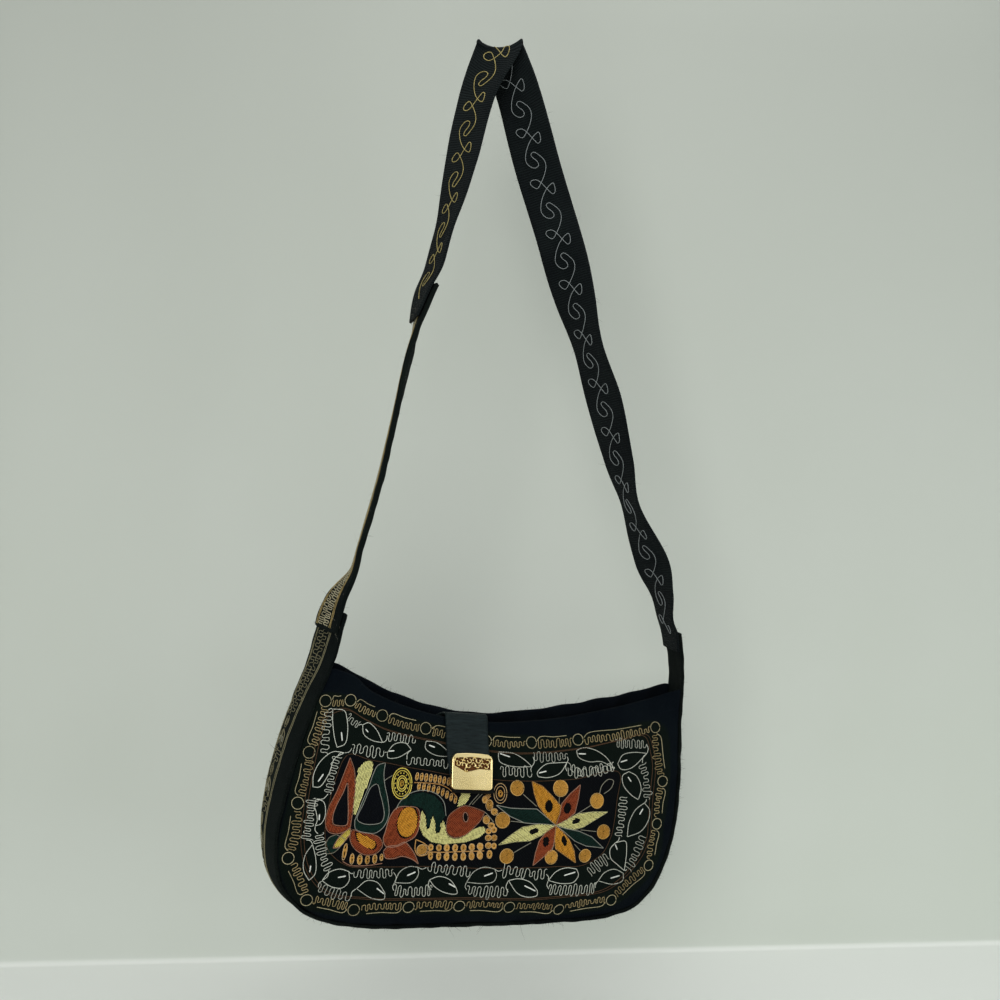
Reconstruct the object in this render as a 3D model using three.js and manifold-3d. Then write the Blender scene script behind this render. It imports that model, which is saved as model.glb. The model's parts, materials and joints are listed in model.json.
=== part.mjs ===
// An embroidered cloth shoulder bag, hanging by its strap as it does on a hook.
//
// Millimetres, +Z up, -Y is the front of the bag, +X is to the right seen from the front.
// The origin is where the hook's wire bears on the inner face of the strap, at the top of its loop.
//
// The bag is two cloth panels and one long gusset strip. The gusset's two ends stand above the rim
// as tails. The right tail takes the webbing, and the left tail takes a thick extension strip that
// takes the webbing's other end. A short tab with a cast plate closes the mouth.
// The body hangs a little turned about Y, so it is modelled upright in a group that is turned.
// Shapes are functions of two shares from 0 to 1, u along a piece and v across or up it.
import * as THREE from 'three';
import { mergeVertices } from 'three/addons/utils/BufferGeometryUtils.js';
import Module from 'manifold-3d';

const wasm = await Module();
wasm.setup();

// Driving dimensions of the bag's body
const HALF_WIDTH = 148;
const CORNER_HEIGHT = 174;
const HALF_DEPTH = 26;
const FRONT_FILL = 11;
const BACK_FILL = 8;
const MOUTH_HALF_GAP = 10;
const GUSSET_CROWN = 3.5;
const PANEL_WALL = 1.6;
const HEM_WALL = 2.4;
const HEM_DEPTH = 11;
const GUSSET_WALL = 2;
const SEAM_LIP = 1.6;
const SEAM_GAP = 0.75;
const GAP = 0.4;
const SPLICE_GAP = 0.7;

// Driving dimensions of the strap
const STRAP_DROP = 409;
const WEBBING_WIDTH = 32;
const WEBBING_WALL = 2;
const EXTENSION_WIDTH = 30;
const EXTENSION_WALL = 4.5;
const EXTENSION_END_WALL = 2.6;
const SPLICE_LAP = 13;
const HOOK_WIRE = 6;
const HOOK_TURN = -25;
const HOOK_CUP = 6;
const HOOK_CUP_REACH = 34;
const LEG_FADE = 50;

// Driving dimensions of the closure
const TAB_SHARE = 0.377;
const TAB_WIDTH = 30;
const TAB_WALL = 2;
const TAB_ROOT_DEPTH = 30;
const TAB_SAG = 1.5;
const TAB_LEAN = 11.7;
const TAB_CLEAR = 0.8;
const CLASP_WIDTH = 30;
const CLASP_HEIGHT = 25;
const CLASP_WALL = 3.5;
const CLASP_DROP = 34;
const CLASP_RECESS = 1.3;
const CLASP_BEVEL = 0.7;
const SCROLL_WIRE = 0.65;
const STUD_RADIUS = 7;
const STUD_HEIGHT = 1.6;

// How the body hangs under the hook: turned about Y in degrees, and off to one side
const BODY_TURN = 5;
const BODY_OFFSET = -4.8;

// The two seams between the panels and the gusset, from the left tail round the bottom to the
// right tail. across is a share of HALF_WIDTH, up of CORNER_HEIGHT, depth of HALF_DEPTH, and
// spread is how far the back seam stands outside the front one, as a share of HALF_WIDTH.
const SEAM = [
  { at: 'left_tail_top', across: -0.788, up: 1.205, depth: 0.515, spread: 0.066 },
  { at: 'left_tail', across: -0.808, up: 1.085, depth: 0.54, spread: 0.074 },
  { at: 'left_rim', across: -0.831, up: 0.989, depth: 0.577, spread: 0.068 },
  { at: 'left_shoulder', across: -0.882, up: 0.862, depth: 0.654, spread: 0.054 },
  { at: 'left_upper', across: -0.939, up: 0.667, depth: 0.808, spread: 0.047 },
  { at: 'left_middle', across: -0.98, up: 0.471, depth: 0.942, spread: 0.034 },
  { at: 'left_lower', across: -0.993, up: 0.316, depth: 1, spread: 0.02 },
  { at: 'left_turn', across: -0.959, up: 0.178, depth: 1, spread: 0.014 },
  { at: 'left_foot', across: -0.878, up: 0.092, depth: 1, spread: 0.01 },
  { at: 'left_toe', across: -0.757, up: 0.034, depth: 1, spread: 0.005 },
  { at: 'left_bottom', across: -0.54, up: 0.005, depth: 1, spread: 0 },
  { at: 'bottom', across: -0.135, up: 0.009, depth: 1.02, spread: 0 },
  { at: 'right_bottom', across: 0.338, up: 0.02, depth: 1, spread: 0 },
  { at: 'right_toe', across: 0.676, up: 0.046, depth: 1, spread: 0.005 },
  { at: 'right_foot', across: 0.818, up: 0.092, depth: 1, spread: 0.01 },
  { at: 'right_turn', across: 0.905, up: 0.178, depth: 1, spread: 0.014 },
  { at: 'right_lower', across: 0.97, up: 0.322, depth: 0.98, spread: 0.02 },
  { at: 'right_middle', across: 0.993, up: 0.46, depth: 0.942, spread: 0.027 },
  { at: 'right_upper', across: 0.997, up: 0.661, depth: 0.846, spread: 0.034 },
  { at: 'right_shoulder', across: 0.986, up: 0.862, depth: 0.692, spread: 0.034 },
  { at: 'right_rim', across: 0.99, up: 1, depth: 0.577, spread: 0.036 },
  { at: 'right_tail', across: 0.978, up: 1.11, depth: 0.558, spread: 0.03 },
  { at: 'right_tail_top', across: 0.943, up: 1.245, depth: 0.577, spread: 0.02 },
];

// The rims, left to right. along is a share of the way between a rim's two corners, sag is how far
// the front rim lies below the line between them, and rise is how far the back rim stands above
// the front one, both as shares of CORNER_HEIGHT.
const RIM = [
  { along: 0, sag: 0, rise: 0.02 },
  { along: 0.06, sag: 0.026, rise: 0.04 },
  { along: 0.11, sag: 0.083, rise: 0.062 },
  { along: 0.2, sag: 0.135, rise: 0.052 },
  { along: 0.31, sag: 0.172, rise: 0.036 },
  { along: 0.42, sag: 0.187, rise: 0.027 },
  { along: 0.52, sag: 0.182, rise: 0.027 },
  { along: 0.66, sag: 0.152, rise: 0.03 },
  { along: 0.8, sag: 0.101, rise: 0.022 },
  { along: 0.9, sag: 0.055, rise: 0.012 },
  { along: 1, sag: 0, rise: 0 },
];

// Dents and folds of the front panel. The ends are shares across and up the panel, width is a
// share of HALF_WIDTH, and depth is in shares of FRONT_FILL, positive where the cloth sinks.
const FRONT_FOLDS = [
  { at: 'right corner crease', x0: 0.97, z0: 1, x1: 0.9, z1: 0.66, width: 0.05, depth: 0.2 },
  { at: 'right corner ridge', x0: 0.88, z0: 1, x1: 0.8, z1: 0.74, width: 0.06, depth: -0.14 },
  { at: 'left corner crease', x0: 0.07, z0: 1, x1: 0.2, z1: 0.78, width: 0.05, depth: 0.16 },
  { at: 'under the tab', x0: 0.39, z0: 1, x1: 0.43, z1: 0.6, width: 0.13, depth: 0.12 },
  { at: 'left foot dent', x0: 0.08, z0: 0.3, x1: 0.2, z1: 0.12, width: 0.09, depth: 0.14 },
  { at: 'bottom swell', x0: 0.3, z0: 0.2, x1: 0.75, z1: 0.18, width: 0.16, depth: -0.16 },
  { at: 'right side dent', x0: 0.95, z0: 0.5, x1: 0.86, z1: 0.3, width: 0.08, depth: 0.14 },
];
const BACK_FOLDS = [
  { at: 'slack from the left corner', x0: 0.05, z0: 0.95, x1: 0.35, z1: 0.5, width: 0.1, depth: 0.3 },
  { at: 'slack from the right corner', x0: 0.95, z0: 0.95, x1: 0.66, z1: 0.5, width: 0.1, depth: 0.3 },
  { at: 'bottom swell', x0: 0.25, z0: 0.2, x1: 0.75, z1: 0.2, width: 0.18, depth: -0.2 },
];

// The route of the strap's two legs, in the hanging frame. down and out are shares of the way from
// the hook to the top of the leg's own tail, down and sideways. turn is the direction of the strap's
// width seen from above, in degrees from +X.
const LEFT_ROUTE = [
  { at: 'above the left tail', down: 0.972, out: 0.952, turn: -78 },
  { at: 'flare', down: 0.936, out: 0.866, turn: -95 },
  { at: 'lower edge-on', down: 0.889, out: 0.83, turn: -99 },
  { at: 'lower span', down: 0.824, out: 0.783, turn: -98 },
  { at: 'middle span', down: 0.675, out: 0.671, turn: -100 },
  { at: 'thinnest', down: 0.553, out: 0.576, turn: -106 },
  { at: 'upper splice', down: 0.461, out: 0.488, turn: -88 },
  { at: 'webbing foot', down: 0.407, out: 0.424, turn: -81 },
  { at: 'webbing narrow', down: 0.326, out: 0.346, turn: -80 },
  { at: 'webbing turning', down: 0.261, out: 0.287, turn: -69 },
  { at: 'webbing wide', down: 0.204, out: 0.244, turn: -60 },
  { at: 'under the hook', down: 0.084, out: 0.138, turn: -50 },
];
const RIGHT_ROUTE = [
  { at: 'under the hook', down: 0.071, out: 0.093, turn: -38 },
  { at: 'wide', down: 0.2, out: 0.217, turn: -20 },
  { at: 'widest', down: 0.316, out: 0.335, turn: -18 },
  { at: 'closing', down: 0.408, out: 0.416, turn: -46 },
  { at: 'upper pinch', down: 0.493, out: 0.493, turn: -72 },
  { at: 'open again', down: 0.587, out: 0.587, turn: -61 },
  { at: 'long span', down: 0.695, out: 0.678, turn: -74 },
  { at: 'middle pinch', down: 0.773, out: 0.747, turn: -92 },
  { at: 'lower flare', down: 0.874, out: 0.873, turn: -63 },
  { at: 'closing again', down: 0.928, out: 0.93, turn: -84 },
  { at: 'above the right tail', down: 0.969, out: 0.966, turn: -96 },
];

// The raised scrolls on the plate's band. x and z are shares of the plate's half sizes, radius of
// its half width, and the arc runs from one angle through a sweep, in degrees.
const SCROLLS = [
  { x: -0.72, z: 0.62, radius: 0.13, from: 40, sweep: 250 },
  { x: -0.46, z: 0.5, radius: 0.15, from: 200, sweep: 240 },
  { x: -0.2, z: 0.62, radius: 0.12, from: 10, sweep: 260 },
  { x: -0.28, z: 0.24, radius: 0.14, from: 150, sweep: 220 },
  { x: 0.06, z: 0.42, radius: 0.15, from: 330, sweep: 240 },
  { x: 0.3, z: 0.62, radius: 0.12, from: 160, sweep: 250 },
  { x: 0.42, z: 0.34, radius: 0.12, from: 20, sweep: 230 },
  { x: 0.7, z: 0.5, radius: 0.16, from: 220, sweep: 270 },
];

// The edge of the recessed band: shares of the plate's half sizes, from its lower left corner.
const BAND_OUTLINE = [
  [-0.9, 0.3],
  [-0.3, -0.06],
  [0.36, 0.14],
  [0.9, 0.1],
  [0.9, 0.72],
  [0, 0.79],
  [-0.9, 0.72],
];

const rad = THREE.MathUtils.degToRad;
const { clamp, lerp, smoothstep } = THREE.MathUtils;

// A cloth wall: a surface of two shares, thickened both ways along its normal into a closed body.
// us and vs are the shares where it is sampled, and wall(u, v) gives the thickness there. The normal
// is measured over a small step, and near the edges it is the one a little way in.
const NORMAL_STEP = 0.004;
const NORMAL_INSET = 0.03;

function clothBody(surface, us, vs, wall) {
  const normalAt = (u, v) => {
    const a = clamp(u, NORMAL_INSET, 1 - NORMAL_INSET);
    const b = clamp(v, NORMAL_INSET, 1 - NORMAL_INSET);
    const alongU = surface(a + NORMAL_STEP, b).sub(surface(a - NORMAL_STEP, b));
    const alongV = surface(a, b + NORMAL_STEP).sub(surface(a, b - NORMAL_STEP));
    return alongU.cross(alongV).normalize();
  };
  const positions = [];
  for (const side of [0.5, -0.5]) {
    for (const v of vs) {
      for (const u of us) {
        const point = surface(u, v).addScaledVector(normalAt(u, v), side * wall(u, v));
        positions.push(point.x, point.y, point.z);
      }
    }
  }
  const columns = us.length;
  const rows = vs.length;
  const index = (i, j, back) => j * columns + i + (back ? columns * rows : 0);
  const triangles = [];
  const quad = (a, b, c, d) => triangles.push(a, b, c, a, c, d);
  for (let j = 0; j < rows - 1; j += 1) {
    for (let i = 0; i < columns - 1; i += 1) {
      const corners = [[i, j], [i + 1, j], [i + 1, j + 1], [i, j + 1]];
      const front = corners.map(([p, q]) => index(p, q, false));
      const back = corners.map(([p, q]) => index(p, q, true));
      if (i >= (columns - 1) / 2) {
        front.push(front.shift());
        back.push(back.shift());
      }
      quad(...front);
      quad(...back.reverse());
    }
  }
  const rim = [];
  for (let i = 0; i < columns - 1; i += 1) rim.push([i, 0]);
  for (let j = 0; j < rows - 1; j += 1) rim.push([columns - 1, j]);
  for (let i = columns - 1; i > 0; i -= 1) rim.push([i, rows - 1]);
  for (let j = rows - 1; j > 0; j -= 1) rim.push([0, j]);
  rim.forEach(([i, j], k) => {
    const [m, n] = rim[(k + 1) % rim.length];
    quad(index(m, n, false), index(i, j, false), index(i, j, true), index(m, n, true));
  });
  const geometry = new THREE.BufferGeometry();
  geometry.setAttribute('position', new THREE.Float32BufferAttribute(positions, 3));
  geometry.setIndex(triangles);
  geometry.computeVertexNormals();
  return geometry;
}

function evenShares(count, from = 0, to = 1) {
  return Array.from({ length: count + 1 }, (_, k) => lerp(from, to, k / count));
}

function standard(color, roughness, metalness = 0) {
  return new THREE.MeshStandardMaterial({ color, roughness, metalness });
}

function named(name, geometry, material) {
  const mesh = new THREE.Mesh(geometry, material);
  mesh.name = name;
  return mesh;
}

// A seam as a curve in the body's frame, and where its named stations lie along it.
const CURVE_DIVISIONS = 24;

function seamCurve(side) {
  const points = SEAM.map(({ across, up, depth, spread }) => {
    const outward = side < 0 ? 0 : Math.sign(across) * spread;
    return new THREE.Vector3(
      HALF_WIDTH * (across + outward), side * HALF_DEPTH * depth, CORNER_HEIGHT * up,
    );
  });
  const curve = new THREE.CatmullRomCurve3(points, false, 'centripetal');
  curve.arcLengthDivisions = CURVE_DIVISIONS * (points.length - 1);
  const lengths = curve.getLengths();
  const shareOf = (name) => {
    const station = SEAM.findIndex(({ at }) => at === name);
    return lengths[station * CURVE_DIVISIONS] / lengths.at(-1);
  };
  return { curve, shareOf, length: lengths.at(-1) };
}

const FRONT_SEAM = seamCurve(-1);
const BACK_SEAM = seamCurve(1);

// A point of a seam, moved into the body by inset, square to the seam and across the panel.
function seamPoint(seam, share, inset) {
  const point = seam.curve.getPointAt(clamp(share, 0, 1));
  const tangent = seam.curve.getTangentAt(clamp(share, 0, 1));
  const outward = new THREE.Vector3(tangent.z, 0, -tangent.x).normalize();
  return point.addScaledVector(outward, -inset);
}

// The front or back panel: a patch that blends its bottom, its two sides and its rim, and that
// swells away from the body, with its folds pressed in. The swell is a sine each way, flattened
// across and lowered, and a fold dies away towards the seams, where the cloth is held.
const SWELL = { across: 0.7, low: 0.85 };
const LOOSE = { across: 0.5, up: 0.4 };

function panelSurface(seam, side, fill, riseShare, folds) {
  const inset = GUSSET_WALL / 2 + SEAM_GAP;
  const stations = ['left_rim', 'left_foot', 'right_foot', 'right_rim'].map(seam.shareOf);
  const [leftRim, leftFoot, rightFoot, rightRim] = stations;
  const bottom = (u) => seamPoint(seam, lerp(leftFoot, rightFoot, u), inset);
  const left = (v) => seamPoint(seam, lerp(leftFoot, leftRim, v), inset);
  const right = (v) => seamPoint(seam, lerp(rightFoot, rightRim, v), inset);
  const dropCurve = new THREE.SplineCurve(RIM.map(({ along, sag, rise }) => (
    new THREE.Vector2(along, sag - riseShare * rise)
  )));
  const dropTable = dropCurve.getPoints(CURVE_DIVISIONS * RIM.length);
  const dropAt = (u) => {
    const next = Math.max(1, dropTable.findIndex(({ x }) => x >= u));
    const from = dropTable[next - 1];
    const to = dropTable[next];
    return lerp(from.y, to.y, (u - from.x) / (to.x - from.x));
  };
  const rim = (u) => {
    const point = left(1).lerp(right(1), u);
    point.z -= CORNER_HEIGHT * dropAt(clamp(u, 0, 1));
    point.y = lerp(point.y, side * MOUTH_HALF_GAP, Math.sin(Math.PI * u));
    return point;
  };
  const sink = (u, v) => folds.reduce((sum, { x0, z0, x1, z1, width, depth }) => {
    const aspect = CORNER_HEIGHT / (2 * HALF_WIDTH);
    const run = new THREE.Vector2(x1 - x0, (z1 - z0) * aspect);
    const way = new THREE.Vector2(u - x0, (v - z0) * aspect);
    const along = clamp(way.dot(run) / run.lengthSq(), 0, 1);
    const off = way.sub(run.multiplyScalar(along)).length() / (width / 2);
    return sum + fill * depth * Math.exp(-off * off);
  }, 0);
  return (u, v) => {
    const a = clamp(u, 0, 1);
    const b = clamp(v, 0, 1);
    const point = bottom(a).multiplyScalar(1 - b).addScaledVector(rim(a), b);
    point.addScaledVector(left(b), 1 - a).addScaledVector(right(b), a);
    point.addScaledVector(bottom(0), -(1 - a) * (1 - b)).addScaledVector(bottom(1), -a * (1 - b));
    point.addScaledVector(rim(0), -(1 - a) * b).addScaledVector(rim(1), -a * b);
    const swell = Math.sin(Math.PI * a) ** SWELL.across * Math.sin(Math.PI * b ** SWELL.low);
    const loose = Math.sin(Math.PI * a) ** LOOSE.across * Math.sin(Math.PI * b) ** LOOSE.up;
    point.y += side * (fill * swell - sink(a, b) * loose);
    return point;
  };
}

const FRONT = panelSurface(FRONT_SEAM, -1, FRONT_FILL, 0, FRONT_FOLDS);
const BACK = panelSurface(BACK_SEAM, 1, BACK_FILL, 1, BACK_FOLDS);
const heightAt = (surface, u) => surface(u, 1).z - surface(u, 0).z;

// A panel is one cloth thick, and two where its rim is turned over into a hem.
const HEM_STEP = 0.3;

function panel(surface) {
  const hemShare = HEM_DEPTH / heightAt(surface, 0.5);
  const hemFoot = 1 - (1 + HEM_STEP) * hemShare;
  const wall = (u, v) => lerp(PANEL_WALL, HEM_WALL, smoothstep(v, hemFoot, 1 - hemShare));
  const rows = [...evenShares(13, 0, hemFoot), 1 - hemShare, 1 - hemShare / 2, 1];
  return clothBody(surface, evenShares(32), rows, wall);
}

// The gusset is ruled between the two seams and laps over the panels' edges. It is crowned outwards
// round the body, and flat in its tails: the crown starts and ends at these shares of its length.
const CROWN = { tail: 0.02, body: 0.14 };

function gussetPoint(share, across) {
  const front = seamPoint(FRONT_SEAM, share, 0);
  const back = seamPoint(BACK_SEAM, share, 0);
  const lap = back.clone().sub(front).setLength(SEAM_LIP);
  front.sub(lap);
  back.add(lap);
  const point = front.lerp(back, clamp(across, 0, 1));
  const tangent = FRONT_SEAM.curve.getTangentAt(clamp(share, 0, 1));
  const outward = new THREE.Vector3(tangent.z, 0, -tangent.x).normalize();
  const crown = smoothstep(Math.min(share, 1 - share), CROWN.tail, CROWN.body);
  return point.addScaledVector(outward, GUSSET_CROWN * crown * Math.sin(Math.PI * across));
}

function gusset() {
  return clothBody(gussetPoint, evenShares(96), evenShares(5), () => GUSSET_WALL);
}

// The body's group, turned as it hangs and let down until its left tail is STRAP_DROP under the hook.
const body = new THREE.Group();
body.rotation.y = rad(BODY_TURN);
body.position.x = BODY_OFFSET;
body.updateMatrixWorld();

const tailMiddle = (share) => body.localToWorld(gussetPoint(share, 0.5));

body.position.z = -STRAP_DROP - tailMiddle(0).z;
body.updateMatrixWorld();

function tailTurn(share) {
  const width = body.localToWorld(gussetPoint(share, 0)).sub(body.localToWorld(gussetPoint(share, 1)));
  return THREE.MathUtils.radToDeg(Math.atan2(width.y, width.x));
}

// The whole way of the strap: up from the left tail, over the hook's wire, down to the right tail.
const lapShare = SPLICE_LAP / FRONT_SEAM.length;
const bendRadius = HOOK_WIRE / 2 + WEBBING_WALL / 2;
const hookAcross = new THREE.Vector3(Math.sin(rad(HOOK_TURN)), -Math.cos(rad(HOOK_TURN)), 0);

// A point of a leg. Close under the hook the legs stand a wire apart, and that dies away downwards.
const onLeg = (tail, side) => ({ down, out, turn }) => {
  const { x, z } = tailMiddle(tail);
  const point = new THREE.Vector3(x * out, 0, z * down);
  const apart = bendRadius * Math.exp(point.z / LEG_FADE);
  return { point: point.addScaledVector(hookAcross, side * apart), turn };
};

function onTail(share) {
  return { point: tailMiddle(share), turn: tailTurn(share) };
}

function overHook(angle) {
  const point = hookAcross.clone().multiplyScalar(bendRadius * Math.cos(rad(angle)));
  point.z = bendRadius * Math.sin(rad(angle)) - HOOK_WIRE / 2;
  return { point, turn: HOOK_TURN };
}

const ROUTE = [
  onTail(2 * lapShare),
  onTail(lapShare),
  onTail(0),
  ...LEFT_ROUTE.map(onLeg(0, 1)),
  ...[0, 45, 90, 135, 180].map(overHook),
  ...RIGHT_ROUTE.map(onLeg(1, -1)),
  onTail(1),
  onTail(1 - lapShare),
  onTail(1 - 2 * lapShare),
];
const routeCurve = new THREE.CatmullRomCurve3(ROUTE.map(({ point }) => point), false, 'centripetal');
routeCurve.arcLengthDivisions = CURVE_DIVISIONS * (ROUTE.length - 1);
const turnCurve = new THREE.SplineCurve(ROUTE.map(({ turn }, k) => new THREE.Vector2(k, turn)));
const routeLengths = routeCurve.getLengths();
const routeLength = routeLengths.at(-1);
const routeStation = (station) => routeLengths[station * CURVE_DIVISIONS];
const HOOK_STATION = 3 + LEFT_ROUTE.length + 2;
const SPLICE_STATION = 3 + LEFT_ROUTE.findIndex(({ at }) => at === 'upper splice');

// A strip that follows the route from one length along it to another. offset(share) moves it
// towards the strap's outer face.
function strip({ from, to, width, offset }) {
  return (u, v) => {
    const length = lerp(from, to, u);
    const t = clamp(length / routeLength, 0, 1);
    const centre = routeCurve.getPointAt(t);
    const tangent = routeCurve.getTangentAt(t);
    const turn = rad(turnCurve.getPoint(routeCurve.getUtoTmapping(t)).y);
    const across = new THREE.Vector3(Math.cos(turn), Math.sin(turn), 0);
    across.addScaledVector(tangent, -across.dot(tangent)).normalize();
    const outer = across.clone().cross(tangent);
    const share = 2 * v - 1;
    const cup = HOOK_CUP * share * share * Math.exp(-((centre.z / HOOK_CUP_REACH) ** 2));
    centre.addScaledVector(across, (share * width) / 2).addScaledVector(outer, offset(u));
    centre.z += cup;
    return centre;
  };
}

// The webbing lies on the extension's outer face at one splice and inside the right tail at the
// other. Each step across ends and starts at these numbers of laps from its end.
const STEP_LAPS = { from: 1.6, to: 3.4 };

function webbing() {
  const from = routeStation(SPLICE_STATION) - SPLICE_LAP;
  const to = routeLength - SPLICE_LAP;
  const lap = SPLICE_LAP / (to - from);
  const tuck = -(GUSSET_WALL + WEBBING_WALL) / 2 - SPLICE_GAP;
  const lift = (EXTENSION_WALL + WEBBING_WALL) / 4 + SPLICE_GAP / 2;
  const offset = (u) => tuck * (1 - smoothstep(1 - u, STEP_LAPS.from * lap, STEP_LAPS.to * lap))
    + lift * (1 - smoothstep(u, STEP_LAPS.from * lap, STEP_LAPS.to * lap));
  const surface = strip({ from, to, width: WEBBING_WIDTH, offset });
  const hook = (routeStation(HOOK_STATION) - from) / (to - from);
  const nearHook = (4 * HOOK_WIRE) / 2 / (to - from);
  const shares = [
    ...evenShares(30, 0, hook - nearHook),
    ...evenShares(8, hook - nearHook, hook + nearHook).slice(1, -1),
    ...evenShares(58, hook + nearHook, 1),
  ];
  return clothBody(surface, shares, evenShares(4), () => WEBBING_WALL);
}

// The extension lies on the left tail's outer face, worn thin there, and crosses to lie under the
// webbing's end between these shares of its length.
const WORN = { from: 0.02, to: 0.16 };
const CROSSING = { from: 0.1, to: 0.5 };

function extension() {
  const from = SPLICE_LAP;
  const to = routeStation(SPLICE_STATION) + SPLICE_LAP;
  const onTailLift = (EXTENSION_END_WALL + GUSSET_WALL) / 2 + SPLICE_GAP;
  const underWebbing = -(EXTENSION_WALL + WEBBING_WALL) / 4 - SPLICE_GAP / 2;
  const offset = (u) => lerp(onTailLift, underWebbing, smoothstep(u, CROSSING.from, CROSSING.to));
  const surface = strip({ from, to, width: EXTENSION_WIDTH, offset });
  const wall = (u) => lerp(EXTENSION_END_WALL, EXTENSION_WALL, smoothstep(u, WORN.from, WORN.to));
  return clothBody(surface, evenShares(44), evenShares(4), wall);
}

// The tab lies against the back panel inside the bag, crosses the mouth, bends round the front rim
// and stands off the front panel by the stud's height where the plate holds it. It leans: its front
// run goes sideways by TAB_LEAN on its way down to the plate.
const besideRim = HEM_WALL / 2 + TAB_CLEAR + TAB_WALL / 2;
const halfTabShare = TAB_WIDTH / 4 / HALF_WIDTH;
const rimFall = Math.abs(FRONT(TAB_SHARE - halfTabShare, 1).z - FRONT(TAB_SHARE, 1).z);
const overRim = besideRim + rimFall;
const overStud = PANEL_WALL / 2 + STUD_HEIGHT + 2 * TAB_CLEAR + TAB_WALL / 2;

function tabStation({ surface, below, ahead, rise = 0 }) {
  const point = surface(TAB_SHARE, 1 - below / heightAt(surface, TAB_SHARE));
  const lean = surface === FRONT ? (TAB_LEAN * below) / CLASP_DROP : 0;
  return point.add(new THREE.Vector3(lean, -ahead, rise));
}

const tabRoute = new THREE.CatmullRomCurve3([
  { surface: BACK, below: TAB_ROOT_DEPTH, ahead: besideRim },
  { surface: BACK, below: TAB_ROOT_DEPTH / 2, ahead: besideRim + TAB_CLEAR / 2 },
  { surface: BACK, below: TAB_ROOT_DEPTH / 5, ahead: besideRim + TAB_CLEAR },
  { surface: FRONT, below: 0, ahead: -MOUTH_HALF_GAP, rise: overRim - TAB_SAG },
  { surface: FRONT, below: 0, ahead: -besideRim, rise: overRim },
  { surface: FRONT, below: 0, ahead: 0.3 * besideRim, rise: 1.05 * overRim },
  { surface: FRONT, below: 0, ahead: 1.15 * besideRim, rise: 0.4 * overRim },
  { surface: FRONT, below: 0.13 * CLASP_DROP, ahead: 1.3 * besideRim },
  { surface: FRONT, below: 0.5 * CLASP_DROP, ahead: besideRim + 2 * TAB_CLEAR },
  { surface: FRONT, below: CLASP_DROP - 0.4 * CLASP_HEIGHT, ahead: overStud },
  { surface: FRONT, below: CLASP_DROP + 0.4 * CLASP_HEIGHT, ahead: overStud },
].map(tabStation), false, 'centripetal');

// The bend over the rim lies between these shares of the tab's length, and is sampled finely.
const BEND = { from: 0.32, to: 0.6 };

function tab() {
  const surface = (u, v) => tabRoute.getPointAt(clamp(u, 0, 1))
    .add(new THREE.Vector3((v - 0.5) * TAB_WIDTH, 0, 0));
  const shares = [
    ...evenShares(8, 0, BEND.from),
    ...evenShares(16, BEND.from, BEND.to).slice(1, -1),
    ...evenShares(9, BEND.to, 1),
  ];
  return clothBody(surface, shares, evenShares(3), () => TAB_WALL);
}

// A closed three.js geometry as a solid that can be cut and joined.
function solid(geometry) {
  const bare = new THREE.BufferGeometry();
  bare.setAttribute('position', geometry.getAttribute('position').clone());
  if (geometry.getIndex()) bare.setIndex(geometry.getIndex().clone());
  const merged = mergeVertices(bare, 1e-4);
  return new wasm.Manifold(new wasm.Mesh({
    numProp: 3,
    vertProperties: new Float32Array(merged.getAttribute('position').array),
    triVerts: new Uint32Array(merged.getIndex().array),
  }));
}

function geometryOf(manifold) {
  const { vertProperties, triVerts } = manifold.getMesh();
  const geometry = new THREE.BufferGeometry();
  geometry.setAttribute('position', new THREE.Float32BufferAttribute(vertProperties, 3));
  geometry.setIndex([...triVerts]);
  geometry.computeVertexNormals();
  return geometry;
}

// The plate's outline: its lip crowned, its corners rounded, more at the top than at the foot.
const CLASP_CROWN = 0.04 * CLASP_HEIGHT;

function claspOutline() {
  const w = CLASP_WIDTH / 2 - CLASP_BEVEL;
  const h = CLASP_HEIGHT / 2 - CLASP_BEVEL;
  const topRound = 0.15 * CLASP_WIDTH;
  const footRound = 0.1 * CLASP_WIDTH;
  const shoulder = h - CLASP_CROWN;
  const outline = new THREE.Shape();
  outline.moveTo(-w + footRound, -h);
  outline.lineTo(w - footRound, -h);
  outline.quadraticCurveTo(w, -h, w, -h + footRound);
  outline.lineTo(w, h - topRound);
  outline.quadraticCurveTo(w, shoulder, w - topRound, shoulder);
  outline.quadraticCurveTo(0, h + CLASP_CROWN, -w + topRound, shoulder);
  outline.quadraticCurveTo(-w, shoulder, -w, h - topRound);
  outline.lineTo(-w, -h + footRound);
  outline.quadraticCurveTo(-w, -h, -w + footRound, -h);
  return outline;
}

// One scroll: a wire that curls inwards along its arc and lies a little over half sunk in the
// band's floor.
const SCROLL_CURL = 0.35;

function scrollWire({ x, z, radius, from, sweep }) {
  const points = evenShares(8).map((share) => {
    const angle = rad(from + sweep * share);
    const reach = radius * (CLASP_WIDTH / 2) * (1 - SCROLL_CURL * share);
    return new THREE.Vector3(
      (x * CLASP_WIDTH) / 2 + reach * Math.cos(angle),
      (z * CLASP_HEIGHT) / 2 + reach * Math.sin(angle),
      CLASP_WALL - CLASP_RECESS - SCROLL_WIRE / 8,
    );
  });
  return new THREE.ExtrudeGeometry(new THREE.Shape().absarc(0, 0, SCROLL_WIRE, 0, 2 * Math.PI), {
    extrudePath: new THREE.CatmullRomCurve3(points), steps: 10, curveSegments: 2, bevelEnabled: false,
  });
}

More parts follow.
